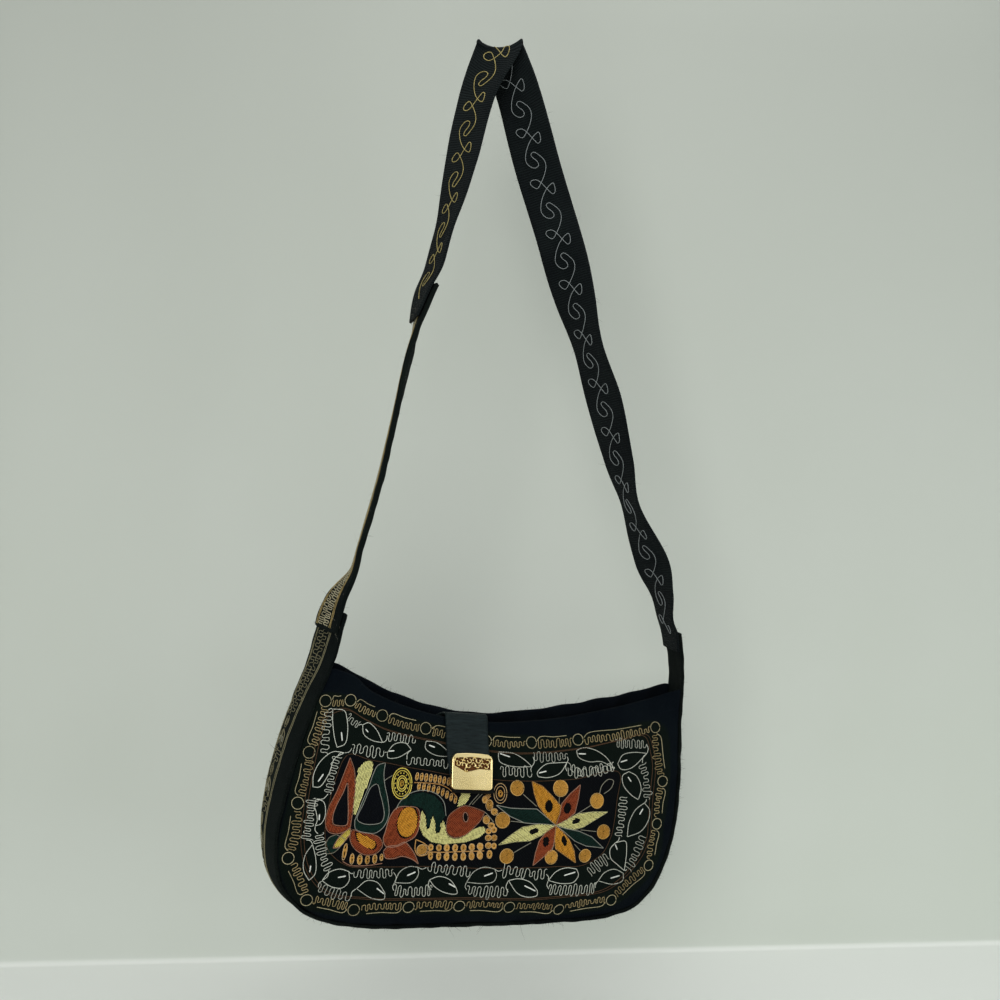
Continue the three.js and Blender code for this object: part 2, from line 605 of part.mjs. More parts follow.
// The plate is drawn flat in X and Y, with its face towards +Z, and then stood on the tab.
function claspPlate() {
  const plate = new THREE.ExtrudeGeometry(claspOutline(), {
    depth: CLASP_WALL - 2 * CLASP_BEVEL,
    bevelThickness: CLASP_BEVEL,
    bevelSize: CLASP_BEVEL,
    bevelSegments: 2,
    curveSegments: 6,
  });
  const corner = ([x, z]) => new THREE.Vector2((x * CLASP_WIDTH) / 2, (z * CLASP_HEIGHT) / 2);
  const band = new THREE.ExtrudeGeometry(new THREE.Shape(BAND_OUTLINE.map(corner)), {
    depth: 2 * CLASP_RECESS, bevelEnabled: false,
  });
  const bare = solid(plate.translate(0, 0, CLASP_BEVEL));
  const cut = bare.subtract(solid(band.translate(0, 0, CLASP_WALL - CLASP_RECESS)));
  const scrolls = SCROLLS.map(scrollWire).map(solid);
  return geometryOf(scrolls.reduce((whole, scroll) => whole.add(scroll), cut));
}

// Where the plate sits: square on the outside of the tab, its middle a little above the tab's end.
const CLASP_FOOT = 0.56 * CLASP_HEIGHT;

function placeOnTab(mesh, lift) {
  const share = 1 - CLASP_FOOT / tabRoute.getLength();
  const point = tabRoute.getPointAt(share);
  const down = tabRoute.getTangentAt(share);
  const outward = new THREE.Vector3(0, down.z, -down.y).normalize();
  const right = new THREE.Vector3(1, 0, 0);
  const up = outward.clone().cross(right);
  mesh.position.copy(point.addScaledVector(outward, lift));
  mesh.quaternion.setFromRotationMatrix(new THREE.Matrix4().makeBasis(right, up, outward));
  return mesh;
}

function snapStud() {
  return new THREE.CylinderGeometry(STUD_RADIUS, STUD_RADIUS, STUD_HEIGHT, 20).rotateX(Math.PI / 2);
}

const cloth = standard(0x0b1216, 0.95);
const embroidered = standard(0x2a2c22, 0.9);
const metal = standard(0xe6cf90, 0.25, 1);

const clasp = named('clasp_plate', claspPlate(), metal);
const stud = named('snap_stud', snapStud(), standard(0xb8aa80, 0.4, 1));

body.add(
  named('front_panel', panel(FRONT), cloth),
  named('back_panel', panel((u, v) => BACK(1 - u, v)), standard(0x0d1318, 0.95)),
  named('gusset', gusset(), embroidered),
  named('closure_tab', tab(), standard(0x17242a, 0.6)),
  placeOnTab(clasp, TAB_WALL / 2 + GAP),
  placeOnTab(stud, -(TAB_WALL / 2 + 1.5 * GAP + STUD_HEIGHT / 2)),
);

const bag = new THREE.Group();
bag.add(
  body,
  named('strap_webbing', webbing(), standard(0x0c1015, 0.9)),
  named('strap_extension', extension(), standard(0x3a3a28, 0.95)),
);

export default bag;
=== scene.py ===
# %% [markdown]
# # An embroidered shoulder bag
# This notebook dresses a small cloth bag that hangs by its strap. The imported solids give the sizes
# and the places. Every piece here is a surface worked out with numpy, from the same few sizes as the
# solids, on a finer grid. Lengths are in millimetres until a mesh is made.

# %% Load the solids
import json
import math

import bpy
import numpy as np
from mathutils import Matrix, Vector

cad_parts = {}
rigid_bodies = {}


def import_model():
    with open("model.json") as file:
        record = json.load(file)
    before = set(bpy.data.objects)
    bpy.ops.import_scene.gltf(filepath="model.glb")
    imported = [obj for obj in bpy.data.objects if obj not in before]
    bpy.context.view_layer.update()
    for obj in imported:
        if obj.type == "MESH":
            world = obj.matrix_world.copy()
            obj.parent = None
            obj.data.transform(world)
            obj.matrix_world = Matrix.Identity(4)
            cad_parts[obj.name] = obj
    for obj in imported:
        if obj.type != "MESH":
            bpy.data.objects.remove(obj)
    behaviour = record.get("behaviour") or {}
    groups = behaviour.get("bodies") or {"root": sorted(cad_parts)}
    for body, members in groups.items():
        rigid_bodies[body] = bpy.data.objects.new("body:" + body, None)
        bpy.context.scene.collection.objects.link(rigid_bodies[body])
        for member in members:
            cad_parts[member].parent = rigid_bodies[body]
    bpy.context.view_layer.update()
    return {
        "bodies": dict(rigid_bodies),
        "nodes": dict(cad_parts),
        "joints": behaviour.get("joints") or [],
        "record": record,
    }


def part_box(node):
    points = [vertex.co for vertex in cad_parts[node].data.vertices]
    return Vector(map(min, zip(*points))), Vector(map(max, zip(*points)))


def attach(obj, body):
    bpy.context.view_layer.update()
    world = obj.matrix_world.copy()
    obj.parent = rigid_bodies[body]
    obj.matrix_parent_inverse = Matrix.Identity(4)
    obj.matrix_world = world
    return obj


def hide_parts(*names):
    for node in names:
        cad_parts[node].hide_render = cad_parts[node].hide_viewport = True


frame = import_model()
print("solids:", sorted(frame["nodes"]))

# %% [markdown]
# ## The camera
# The photographer stands a little to the left of the bag and level with its middle, about 0.8 m
# away. The camera comes first, because the embroidery is drawn through it later.

# %% Camera
MM = 0.001
PICTURE = 1000
AZIMUTH = -18
ROLL = 1.8
DISTANCE = 785
FOCAL_PIXELS = 1072
AIM = np.array([11, 0, -327.5])
SENSOR = 36


def camera_axes():
    """Right, up and back of the camera: back points from the aim to the eye, turned by AZIMUTH
    about Z, and right and up are turned by ROLL about it."""
    a, r = math.radians(AZIMUTH), math.radians(ROLL)
    back = np.array([math.sin(a), -math.cos(a), 0])
    side = np.cross([0, 0, 1], back)
    right = math.cos(r) * side + math.sin(r) * np.array([0, 0, 1])
    return right, np.cross(back, right), back


def stand(holder, right, up, back, place):
    """Turns a camera or a lamp to three axes, at a place in millimetres."""
    turn = np.eye(4)
    turn[:3, 0], turn[:3, 1], turn[:3, 2], turn[:3, 3] = right, up, back, place * MM
    holder.matrix_world = Matrix(turn.tolist())
    bpy.context.scene.collection.objects.link(holder)


RIGHT, UP, BACKWARD = camera_axes()
EYE = AIM + DISTANCE * BACKWARD

camera = bpy.data.objects.new("Camera", bpy.data.cameras.new("Camera"))
camera.data.lens = FOCAL_PIXELS * SENSOR / PICTURE
camera.data.sensor_width = SENSOR
camera.data.clip_start = 0.05
stand(camera, RIGHT, UP, BACKWARD, EYE)
bpy.context.scene.camera = camera
print("camera lens", round(camera.data.lens, 2), "mm")


def picture_point(points):
    """Where points of the bag fall in the picture: across and down, in thousandths of its width."""
    way = points - EYE
    depth = -way @ BACKWARD
    across = PICTURE / 2 + FOCAL_PIXELS * (way @ RIGHT) / depth
    down = PICTURE / 2 - FOCAL_PIXELS * (way @ UP) / depth
    return np.stack([across, down], axis=-1)


# %% [markdown]
# ## Curves
# Seams, rims and straps run through a few chosen points. A cubic between each two, with slopes from
# the neighbours, keeps such a line smooth, and its samples give a point at any distance along it.

# %% Curves
FINE = 48


def unit(vectors):
    """Each vector divided by its own length."""
    return vectors / np.maximum(np.linalg.norm(vectors, axis=-1, keepdims=True), 1e-12)


def smooth(x, low, high):
    """0 below low, 1 above high, and the cubic 3t^2 - 2t^3 between them."""
    t = np.clip((x - low) / (high - low), 0, 1)
    return t * t * (3 - 2 * t)


def through(points, even=False, closed=False):
    """Samples of a curve through points. Each piece is a Hermite cubic, whose slopes weigh the
    neighbouring pieces by the square root of their length, or evenly."""
    p = np.asarray(points, float)
    if closed:
        p = np.vstack([p[-1], p, p[0], p[1]])
    elif even:
        p = np.vstack([p[0], p, p[-1]])
    else:
        p = np.vstack([2 * p[0] - p[1], p, 2 * p[-1] - p[-2]])
    gap = np.linalg.norm(np.diff(p, axis=0), axis=1)[:, None]
    gap = np.ones_like(gap) if even else np.maximum(gap, 1e-6) ** 0.5
    d0, d1, d2 = gap[:-2], gap[1:-1], gap[2:]
    x0, x1, x2, x3 = p[:-3], p[1:-2], p[2:-1], p[3:]
    m1 = ((x1 - x0) / d0 - (x2 - x0) / (d0 + d1) + (x2 - x1) / d1) * d1
    m2 = ((x2 - x1) / d1 - (x3 - x1) / (d1 + d2) + (x3 - x2) / d2) * d1
    s = np.linspace(0, 1, FINE, endpoint=False)[None, :, None]
    parts = (2 * s**3 - 3 * s**2 + 1) * x1[:, None] + (s**3 - 2 * s**2 + s) * m1[:, None]
    parts = parts + (3 * s**2 - 2 * s**3) * x2[:, None] + (s**3 - s**2) * m2[:, None]
    return np.vstack([parts.reshape(-1, p.shape[1]), p[-2]])


def lengths(samples):
    """The distance along the samples, from 0 at the first."""
    return np.concatenate([[0], np.cumsum(np.linalg.norm(np.diff(samples, axis=0), axis=1))])


def read(samples, at, where):
    """The samples read at other places, straight between neighbours. at holds their own places."""
    return np.stack([np.interp(where, at, column) for column in samples.T], axis=-1)


def spaced(samples, step):
    """The same line again, with points a step apart."""
    length = lengths(samples)
    count = max(3, int(round(length[-1] / step)) + 1)
    return read(samples, length, np.linspace(0, length[-1], count))

# %% [markdown]
# ## The cut of the bag
# Two cloth panels are sewn to one long gusset strip. The two seams are the bag's skeleton: they run
# from the left tail under the bottom to the right tail. The tables hold shares of the named sizes.

# %% Sizes of the body
HALF_WIDTH = 148
CORNER_HEIGHT = 174
HALF_DEPTH = 26
FRONT_FILL = 11
BACK_FILL = 8
MOUTH_HALF_GAP = 10
GUSSET_CROWN = 3.5
PANEL_WALL = 1.6
HEM_WALL = 2.4
HEM_DEPTH = 11
GUSSET_WALL = 2
SEAM_LIP = 1.6
SEAM_GAP = 0.75
BODY_TURN = 5
BODY_OFFSET = -4.8
STRAP_DROP = 409

# Stations of the seams: across, up, depth and spread.
SEAM = {
    "left_tail_top": (-0.788, 1.205, 0.515, 0.066),
    "left_tail": (-0.808, 1.085, 0.54, 0.074),
    "left_rim": (-0.831, 0.989, 0.577, 0.068),
    "left_shoulder": (-0.882, 0.862, 0.654, 0.054),
    "left_upper": (-0.939, 0.667, 0.808, 0.047),
    "left_middle": (-0.98, 0.471, 0.942, 0.034),
    "left_lower": (-0.993, 0.316, 1, 0.02),
    "left_turn": (-0.959, 0.178, 1, 0.014),
    "left_foot": (-0.878, 0.092, 1, 0.01),
    "left_toe": (-0.757, 0.034, 1, 0.005),
    "left_bottom": (-0.54, 0.005, 1, 0),
    "bottom": (-0.135, 0.009, 1.02, 0),
    "right_bottom": (0.338, 0.02, 1, 0),
    "right_toe": (0.676, 0.046, 1, 0.005),
    "right_foot": (0.818, 0.092, 1, 0.01),
    "right_turn": (0.905, 0.178, 1, 0.014),
    "right_lower": (0.97, 0.322, 0.98, 0.02),
    "right_middle": (0.993, 0.46, 0.942, 0.027),
    "right_upper": (0.997, 0.661, 0.846, 0.034),
    "right_shoulder": (0.986, 0.862, 0.692, 0.034),
    "right_rim": (0.99, 1, 0.577, 0.036),
    "right_tail": (0.978, 1.11, 0.558, 0.03),
    "right_tail_top": (0.943, 1.245, 0.577, 0.02),
}

# Stations of the rims: along, sag of the front rim, rise of the back rim over it.
RIM = [
    (0, 0, 0.02), (0.06, 0.026, 0.04), (0.11, 0.083, 0.062), (0.2, 0.135, 0.052),
    (0.31, 0.172, 0.036), (0.42, 0.187, 0.027), (0.52, 0.182, 0.027), (0.66, 0.152, 0.03),
    (0.8, 0.101, 0.022), (0.9, 0.055, 0.012), (1, 0, 0),
]

# Folds: x0, z0, x1, z1, width and depth, in shares of the panel and of its fill.
FRONT_FOLDS = [
    (0.97, 1, 0.9, 0.66, 0.05, 0.2),
    (0.88, 1, 0.8, 0.74, 0.06, -0.14),
    (0.07, 1, 0.2, 0.78, 0.05, 0.16),
    (0.39, 1, 0.43, 0.6, 0.13, 0.12),
    (0.08, 0.3, 0.2, 0.12, 0.09, 0.14),
    (0.3, 0.2, 0.75, 0.18, 0.16, -0.16),
    (0.95, 0.5, 0.86, 0.3, 0.08, 0.14),
]
BACK_FOLDS = [
    (0.05, 0.95, 0.35, 0.5, 0.1, 0.3),
    (0.95, 0.95, 0.66, 0.5, 0.1, 0.3),
    (0.25, 0.2, 0.75, 0.2, 0.18, -0.2),
]

# %% Seams


def seam(side):
    """One seam as samples, with its tangents and the share of its length at each sample."""
    across, up, depth, spread = np.array(list(SEAM.values())).T
    outward = 0 if side < 0 else np.sign(across) * spread
    stations = [HALF_WIDTH * (across + outward), side * HALF_DEPTH * depth, CORNER_HEIGHT * up]
    points = through(np.stack(stations, axis=1))
    length = lengths(points)
    tangents = unit(np.gradient(points, length, axis=0))
    return {"points": points, "tangents": tangents, "share": length / length[-1], "long": length[-1]}


FRONT_SEAM, BACK_SEAM = seam(-1), seam(1)


def station(line, name):
    """The share of a seam's length at one of its named stations."""
    return line["share"][list(SEAM).index(name) * FINE]


def outward_of(tangents):
    """Square to the seam, away from the bag: the tangent turned by a right angle in the X Z plane."""
    turned = [tangents[..., 2], np.zeros_like(tangents[..., 0]), -tangents[..., 0]]
    return unit(np.stack(turned, axis=-1))


def seam_point(line, share, inset):
    """A point of the seam moved into the bag by inset."""
    share = np.clip(share, 0, 1)
    outward = outward_of(read(line["tangents"], line["share"], share))
    return read(line["points"], line["share"], share) - inset * outward


print("seam", round(FRONT_SEAM["long"]), "mm long")

# %% [markdown]
# ## The panels' surface
# A panel is a patch between four edges: the foot, two sides and the rim. Blending the edges, less
# the corners counted twice, gives a smooth sheet, a Coons patch. It swells between its seams, and
# the folds are narrow valleys pressed into the swell.

# %% Panel surface


def panel_surface(line, side, fill, rise_share, folds):
    """Returns the function from shares u, v to points. It is the Coons patch of the edges, plus
    fill times sin(pi u)^0.7 sin(pi v^0.85) outwards, less a Gaussian valley for each fold."""
    inset = GUSSET_WALL / 2 + SEAM_GAP
    names = ("left_rim", "left_foot", "right_foot", "right_rim")
    left_rim, left_foot, right_foot, right_rim = (station(line, name) for name in names)
    along, sag, rise = through(RIM, even=True).T[:3]

    def edge(start, end):
        return lambda share: seam_point(line, start + share * (end - start), inset)

    bottom, left, right = edge(left_foot, right_foot), edge(left_foot, left_rim), edge(right_foot, right_rim)

    def rim(u):
        one = np.ones_like(u)
        point = (1 - u)[..., None] * left(one) + u[..., None] * right(one)
        point[..., 2] -= CORNER_HEIGHT * np.interp(u, along, sag - rise_share * rise)
        point[..., 1] += np.sin(np.pi * u) * (side * MOUTH_HALF_GAP - point[..., 1])
        return point

    def sink(u, v):
        aspect = CORNER_HEIGHT / (2 * HALF_WIDTH)
        total = np.zeros_like(u)
        for x0, z0, x1, z1, width, depth in folds:
            run = np.array([x1 - x0, (z1 - z0) * aspect])
            way = np.stack([u - x0, (v - z0) * aspect], axis=-1)
            t = np.clip(way @ run / (run @ run), 0, 1)
            off = np.linalg.norm(way - t[..., None] * run, axis=-1) / (width / 2)
            total = total + fill * depth * np.exp(-off * off)
        return total

    def surface(u, v):
        a, b = np.clip(u, 0, 1), np.clip(v, 0, 1)
        zero, one = np.zeros_like(a), np.ones_like(a)
        ra, rb = a[..., None], b[..., None]
        point = (1 - rb) * bottom(a) + rb * rim(a) + (1 - ra) * left(b) + ra * right(b)
        point = point - (1 - ra) * (1 - rb) * bottom(zero) - ra * (1 - rb) * bottom(one)
        point = point - (1 - ra) * rb * rim(zero) - ra * rb * rim(one)
        swell = np.sin(np.pi * a).clip(0) ** 0.7 * np.sin(np.pi * b**0.85).clip(0)
        loose = np.sin(np.pi * a).clip(0) ** 0.5 * np.sin(np.pi * b).clip(0) ** 0.4
        point[..., 1] += side * (fill * swell - sink(a, b) * loose)
        return point

    return surface


front_surface = panel_surface(FRONT_SEAM, -1, FRONT_FILL, 0, FRONT_FOLDS)
back_surface = panel_surface(BACK_SEAM, 1, BACK_FILL, 1, BACK_FOLDS)


def height_at(surface, u):
    """How high a panel is at the share u across it."""
    u = np.array([float(u)])
    return float((surface(u, np.ones(1)) - surface(u, np.zeros(1)))[0, 2])


# %% Gusset surface


def gusset_surface(share, across):
    """A strip ruled between the two seams, lapping them by SEAM_LIP, and crowned outwards by
    GUSSET_CROWN times sin(pi across) except in the tails."""
    front, back = seam_point(FRONT_SEAM, share, 0), seam_point(BACK_SEAM, share, 0)
    lap = SEAM_LIP * unit(back - front)
    front, back = front - lap, back + lap
    tangents = read(FRONT_SEAM["tangents"], FRONT_SEAM["share"], np.clip(share, 0, 1))
    crown = GUSSET_CROWN * smooth(np.minimum(share, 1 - share), 0.02, 0.14) * np.sin(np.pi * across)
    ruled = front + np.clip(across, 0, 1)[..., None] * (back - front)
    return ruled + crown[..., None] * outward_of(tangents)


def hang(points):
    """From the bag's own upright frame to where it hangs: turned by BODY_TURN about Y and let down."""
    c, s = math.cos(math.radians(BODY_TURN)), math.sin(math.radians(BODY_TURN))
    x, y, z = points[..., 0], points[..., 1], points[..., 2]
    return np.stack([c * x + s * z + BODY_OFFSET, y, c * z - s * x + body_height], axis=-1)


body_height = 0
half = np.array([0.5])
body_height = -STRAP_DROP - float(hang(gusset_surface(0 * half, half))[0, 2])
print("the body's own origin hangs at", round(body_height, 1), "mm")

# %% [markdown]
# ## The way of the strap
# The strap climbs from the left tail, bends over at the top, where the bag hangs, and comes down to
# the right tail. It twists on the way, so each station holds the direction of its width from above.

# %% Strap route
WEBBING_WIDTH = 32
WEBBING_WALL = 2
EXTENSION_WIDTH = 30
EXTENSION_WALL = 4.5
EXTENSION_END_WALL = 2.6
SPLICE_LAP = 13
SPLICE_GAP = 0.7
TOP_WIRE = 6
TOP_TURN = -25
TOP_CUP = 6
TOP_CUP_REACH = 34
LEG_FADE = 50

# Stations of the legs: down and out in shares of the way to the leg's tail, and the turn.
LEFT_LEG = [
    (0.972, 0.952, -78), (0.936, 0.866, -95), (0.889, 0.83, -99), (0.824, 0.783, -98),
    (0.675, 0.671, -100), (0.553, 0.576, -106), (0.461, 0.488, -88), (0.407, 0.424, -81),
    (0.326, 0.346, -80), (0.261, 0.287, -69), (0.204, 0.244, -60), (0.084, 0.138, -50),
]
RIGHT_LEG = [
    (0.071, 0.093, -38), (0.2, 0.217, -20), (0.316, 0.335, -18), (0.408, 0.416, -46),
    (0.493, 0.493, -72), (0.587, 0.587, -61), (0.695, 0.678, -74), (0.773, 0.747, -92),
    (0.874, 0.873, -63), (0.928, 0.93, -84), (0.969, 0.966, -96),
]
UPPER_SPLICE = 6


def tail_point(share):
    """The middle of the gusset at a share of its length, and the turn of its width, in degrees."""
    share = np.array([float(share)])
    middle, front, back = (hang(gusset_surface(share, share * 0 + t))[0] for t in (0.5, 0, 1))
    return middle, math.degrees(math.atan2(*(front - back)[[1, 0]]))


def leg_points(legs, tail, side, radius, across):
    """The stations of a leg. Close under the top the legs stand a little apart."""
    top = tail_point(tail)[0]
    down, out, turn = np.array(legs).T
    points = np.stack([top[0] * out, 0 * out, top[2] * down], axis=1)
    apart = side * radius * np.exp(points[:, 2] / LEG_FADE)
    return list(zip(points + apart[:, None] * across, turn))


def strap_route():
    """The stations from the left tail over the top to the right tail, with the turn at each."""
    lap = SPLICE_LAP / FRONT_SEAM["long"]
    radius = (TOP_WIRE + WEBBING_WALL) / 2
    a = math.radians(TOP_TURN)
    across = np.array([math.sin(a), -math.cos(a), 0])
    arc = np.radians([0, 45, 90, 135, 180])
    over = [(radius * math.cos(t) * across + [0, 0, radius * math.sin(t) - TOP_WIRE / 2], TOP_TURN)
            for t in arc]
    left = [tail_point(share) for share in (2 * lap, lap, 0)]
    right = [tail_point(share) for share in (1, 1 - lap, 1 - 2 * lap)]
    return [*left, *leg_points(LEFT_LEG, 0, 1, radius, across), *over,
            *leg_points(RIGHT_LEG, 1, -1, radius, across), *right]


stations = strap_route()
route = through([point for point, _ in stations])
route_length = lengths(route)
route_tangent = unit(np.gradient(route, route_length, axis=0))
route_turn = through([(turn, 0) for _, turn in stations], even=True)[:, 0]
SPLICE_AT = route_length[(3 + UPPER_SPLICE) * FINE]
TOP_AT = route_length[(3 + len(LEFT_LEG) + 2) * FINE]
ROUTE_LONG = route_length[-1]


def strip_surface(start, end, width, offset):
    """Returns the function from shares u along and v across to points of a strip on the route.
    Its width lies along the turn, square to the route, and offset(u) moves it outwards."""
    def surface(u, v):
        at = start + u * (end - start)
        centre = read(route, route_length, at)
        tangent = unit(read(route_tangent, route_length, at))
        turn = np.radians(np.interp(at, route_length, route_turn))
        across = np.stack([np.cos(turn), np.sin(turn), 0 * turn], axis=-1)
        across = unit(across - (across * tangent).sum(-1, keepdims=True) * tangent)
        outer = np.cross(across, tangent)
        share = 2 * v - 1
        cup = TOP_CUP * share**2 * np.exp(-((centre[..., 2] / TOP_CUP_REACH) ** 2))
        point = centre + (share * width / 2)[..., None] * across + offset(u)[..., None] * outer
        point[..., 2] += cup
        return point

    return surface


print("strap route", round(ROUTE_LONG), "mm, splice at", round(SPLICE_AT), "top at", round(TOP_AT))


# %% [markdown]
# ## The tab and the plate's place
# A short leather tab grows out of the back panel, crosses the mouth, bends over the front rim and
# ends behind a metal plate. Its middle line is again a curve through a few stations.

# %% Tab route
TAB_SHARE = 0.377
TAB_WIDTH = 30
TAB_WALL = 2
TAB_ROOT_DEPTH = 30
TAB_SAG = 1.5
TAB_LEAN = 11.7
TAB_CLEAR = 0.8
STUD_HEIGHT = 1.6
CLASP_WIDTH = 30
CLASP_HEIGHT = 25
CLASP_WALL = 3.5
CLASP_DROP = 34
CLASP_RECESS = 1.3
CLASP_GAP = 0.4

beside_rim = HEM_WALL / 2 + TAB_CLEAR + TAB_WALL / 2
beside_share = TAB_SHARE - TAB_WIDTH / 4 / HALF_WIDTH
rims = front_surface(np.array([beside_share, TAB_SHARE]), np.ones(2))
over_rim = beside_rim + abs(rims[0, 2] - rims[1, 2])
over_stud = PANEL_WALL / 2 + STUD_HEIGHT + 2 * TAB_CLEAR + TAB_WALL / 2


def tab_station(surface, below, ahead, rise=0.0):
    """A point below a panel's rim, moved ahead of the panel and leaning with its depth."""
    share = 1 - below / height_at(surface, TAB_SHARE)
    point = surface(np.array([TAB_SHARE]), np.array([share]))[0]
    lean = TAB_LEAN * below / CLASP_DROP if surface is front_surface else 0
    return point + [lean, -ahead, rise]


tab_route = through([tab_station(*row) for row in (
    (back_surface, TAB_ROOT_DEPTH, beside_rim),
    (back_surface, TAB_ROOT_DEPTH / 2, beside_rim + TAB_CLEAR / 2),
    (back_surface, TAB_ROOT_DEPTH / 5, beside_rim + TAB_CLEAR),
    (front_surface, 0, -MOUTH_HALF_GAP, over_rim - TAB_SAG),
    (front_surface, 0, -beside_rim, over_rim),
    (front_surface, 0, 0.3 * beside_rim, 1.05 * over_rim),
    (front_surface, 0, 1.15 * beside_rim, 0.4 * over_rim),
    (front_surface, 0.13 * CLASP_DROP, 1.3 * beside_rim),
    (front_surface, 0.5 * CLASP_DROP, beside_rim + 2 * TAB_CLEAR),
    (front_surface, CLASP_DROP - 0.4 * CLASP_HEIGHT, over_stud),
    (front_surface, CLASP_DROP + 0.4 * CLASP_HEIGHT, over_stud),
)])
tab_length = lengths(tab_route)
TAB_LONG = tab_length[-1]


def tab_surface(u, v):
    """The tab's middle line carried sideways by its width."""
    point = read(tab_route, tab_length, np.clip(u, 0, 1) * TAB_LONG)
    point[..., 0] += (v - 0.5) * TAB_WIDTH
    return point


print("tab", round(TAB_LONG, 1), "mm long")

# %% [markdown]
# ## A wall of cloth
# Real cloth has a thickness and a rounded edge. A grid on the middle surface is copied half a wall
# out and half a wall in, and a ring between the copies rounds the edge. Solidify does much the
# same, but here the wall changes along a piece, and the map is in metres.

# %% Cloth builder


def grid_normals(points):
    """Square to a grid of points: the cross product of its two directions."""
    return unit(np.cross(np.gradient(points, axis=1), np.gradient(points, axis=0)))


def make_mesh(name, points, faces, coords):
    """A mesh object from millimetres, with one map coordinate a point, in metres."""
    mesh = bpy.data.meshes.new(name)
    mesh.vertices.add(len(points))
    mesh.vertices.foreach_set("co", (points * MM).astype(np.float32).ravel())
    mesh.loops.add(faces.size)
    mesh.loops.foreach_set("vertex_index", faces.astype(np.int32).ravel())
    mesh.polygons.add(len(faces))
    starts = np.arange(0, faces.size, faces.shape[1], dtype=np.int32)
    mesh.polygons.foreach_set("loop_start", starts)
    mesh.polygons.foreach_set("use_smooth", np.ones(len(faces), bool))
    layer = mesh.uv_layers.new(name="UVMap")
    layer.data.foreach_set("uv", (coords[faces.ravel()] * MM).astype(np.float32).ravel())
    mesh.update(calc_edges=True)
    mesh.validate()
    piece = bpy.data.objects.new(name, mesh)
    bpy.context.scene.collection.objects.link(piece)
    return piece


def quads(index):
    """The four corners of each cell of a grid of point numbers."""
    corners = [index[:-1, :-1], index[:-1, 1:], index[1:, 1:], index[1:, :-1]]
    return np.stack(corners, axis=-1).reshape(-1, 4)


def border_of(index):
    """The point numbers once round a grid."""
    return np.concatenate([index[0, :-1], index[:-1, -1], index[-1, :0:-1], index[:0:-1, 0]])


def cloth(name, surface, columns, rows, wall, relief=None):
    """A closed wall on a surface. Middle plus and minus half the wall along the normal, and an edge
    ring half a wall outside the middle's border. relief lifts the middle along the normal."""
    u, v = np.meshgrid(columns, rows)
    middle = surface(u, v)
    normal = grid_normals(middle)
    if relief is not None:
        middle = middle + relief(u, v)[..., None] * normal
    thick = wall(u, v)[..., None] * np.ones_like(middle)
    count = u.size
    outer = np.arange(count).reshape(u.shape)
    inner = outer + count
    ring = border_of(outer)
    inside = np.concatenate([outer[1, :-1], outer[:-1, -2], outer[-2, :0:-1], outer[:0:-1, 1]])
    flat, depth = middle.reshape(-1, 3), thick.reshape(-1, 3)
    edge = flat[ring] + 0.45 * depth[ring] * unit(flat[ring] - flat[inside])
    points = np.vstack([(middle + normal * thick / 2).reshape(-1, 3),
                        (middle - normal * thick / 2).reshape(-1, 3), edge])
    border = 2 * count + np.arange(len(ring))
    after = np.roll(np.arange(len(ring)), -1)
    faces = np.vstack([
        quads(outer), quads(inner)[:, ::-1],
        np.stack([ring[after], ring, border, border[after]], axis=1),
        np.stack([border[after], border, ring + count, ring[after] + count], axis=1),
    ])
    along = np.cumsum(np.linalg.norm(np.diff(middle, axis=1, prepend=middle[:, :1]), axis=-1), axis=1)
    across = np.cumsum(np.linalg.norm(np.diff(middle, axis=0, prepend=middle[:1]), axis=-1), axis=0)
    even = np.stack([along.mean(0) + 0 * u, across.mean(1)[:, None] + 0 * u], axis=-1).reshape(-1, 2)
    coords = np.vstack([even, even, even[ring]])
    piece = make_mesh(name, points, faces, coords)
    cells = np.cross(np.diff(middle, axis=1)[:-1], np.diff(middle, axis=0)[:, :-1])
    piece["flat_area"] = float(np.linalg.norm(cells, axis=-1).sum() * MM**2)
    size = (along[:, -1].mean() * MM, across[-1].mean() * MM)
    print(name, "cut", [round(s, 3) for s in size], "m, area", round(piece["flat_area"], 5))
    return piece, size


def hung(surface):
    """The same surface where the bag hangs."""
    return lambda u, v: hang(surface(u, v))


# %% [markdown]
# ## Puckers
# Stitching draws cloth together, so it lies in small soft puckers. A few sine waves with seeded
# phases are enough: they are the same on every run, and the threads can ask for their height.

# %% Puckers
dice = np.random.default_rng(41)
WAVES = [(dice.uniform(9, 26), dice.uniform(0, math.pi), dice.uniform(0, 6.28)) for _ in range(9)]


def puckers(along, across, height):
    """The mean of nine sine waves in seeded directions, 9 to 26 mm long."""
    total = np.zeros_like(along)
    for wave, heading, phase in WAVES:
        way = along * math.cos(heading) + across * math.sin(heading)
        total = total + np.sin(2 * math.pi * way / wave + phase)
    return height * total / 3


def front_relief(u, v):
    """Puckers over the panel, and stitch dimples along the hem's lower line."""
    x, z = 2 * HALF_WIDTH * u, CORNER_HEIGHT * v
    hem = 1 - (HEM_DEPTH - 1.5) / (CORNER_HEIGHT * 0.83)
    dimple = 0.25 * np.exp(-(((v - hem) / 0.008) ** 2)) * (1 + 0.5 * np.sin(2 * math.pi * x / 3.2))
    wave = 0.5 * np.sin(2 * math.pi * x / 17 + np.sin(x / 23)) * smooth(v, 0.86, 1)
    return puckers(x, z, 0.3) + wave * 0.6 - dimple


def back_relief(u, v):
    """Larger slack waves, because nothing stiffens this panel."""
    x, z = 2 * HALF_WIDTH * u, CORNER_HEIGHT * v
    wave = np.sin(2 * math.pi * x / 31 + 1.3 * np.sin(x / 37)) * smooth(v, 0.8, 1)
    return puckers(x, z, 0.5) + 0.9 * wave


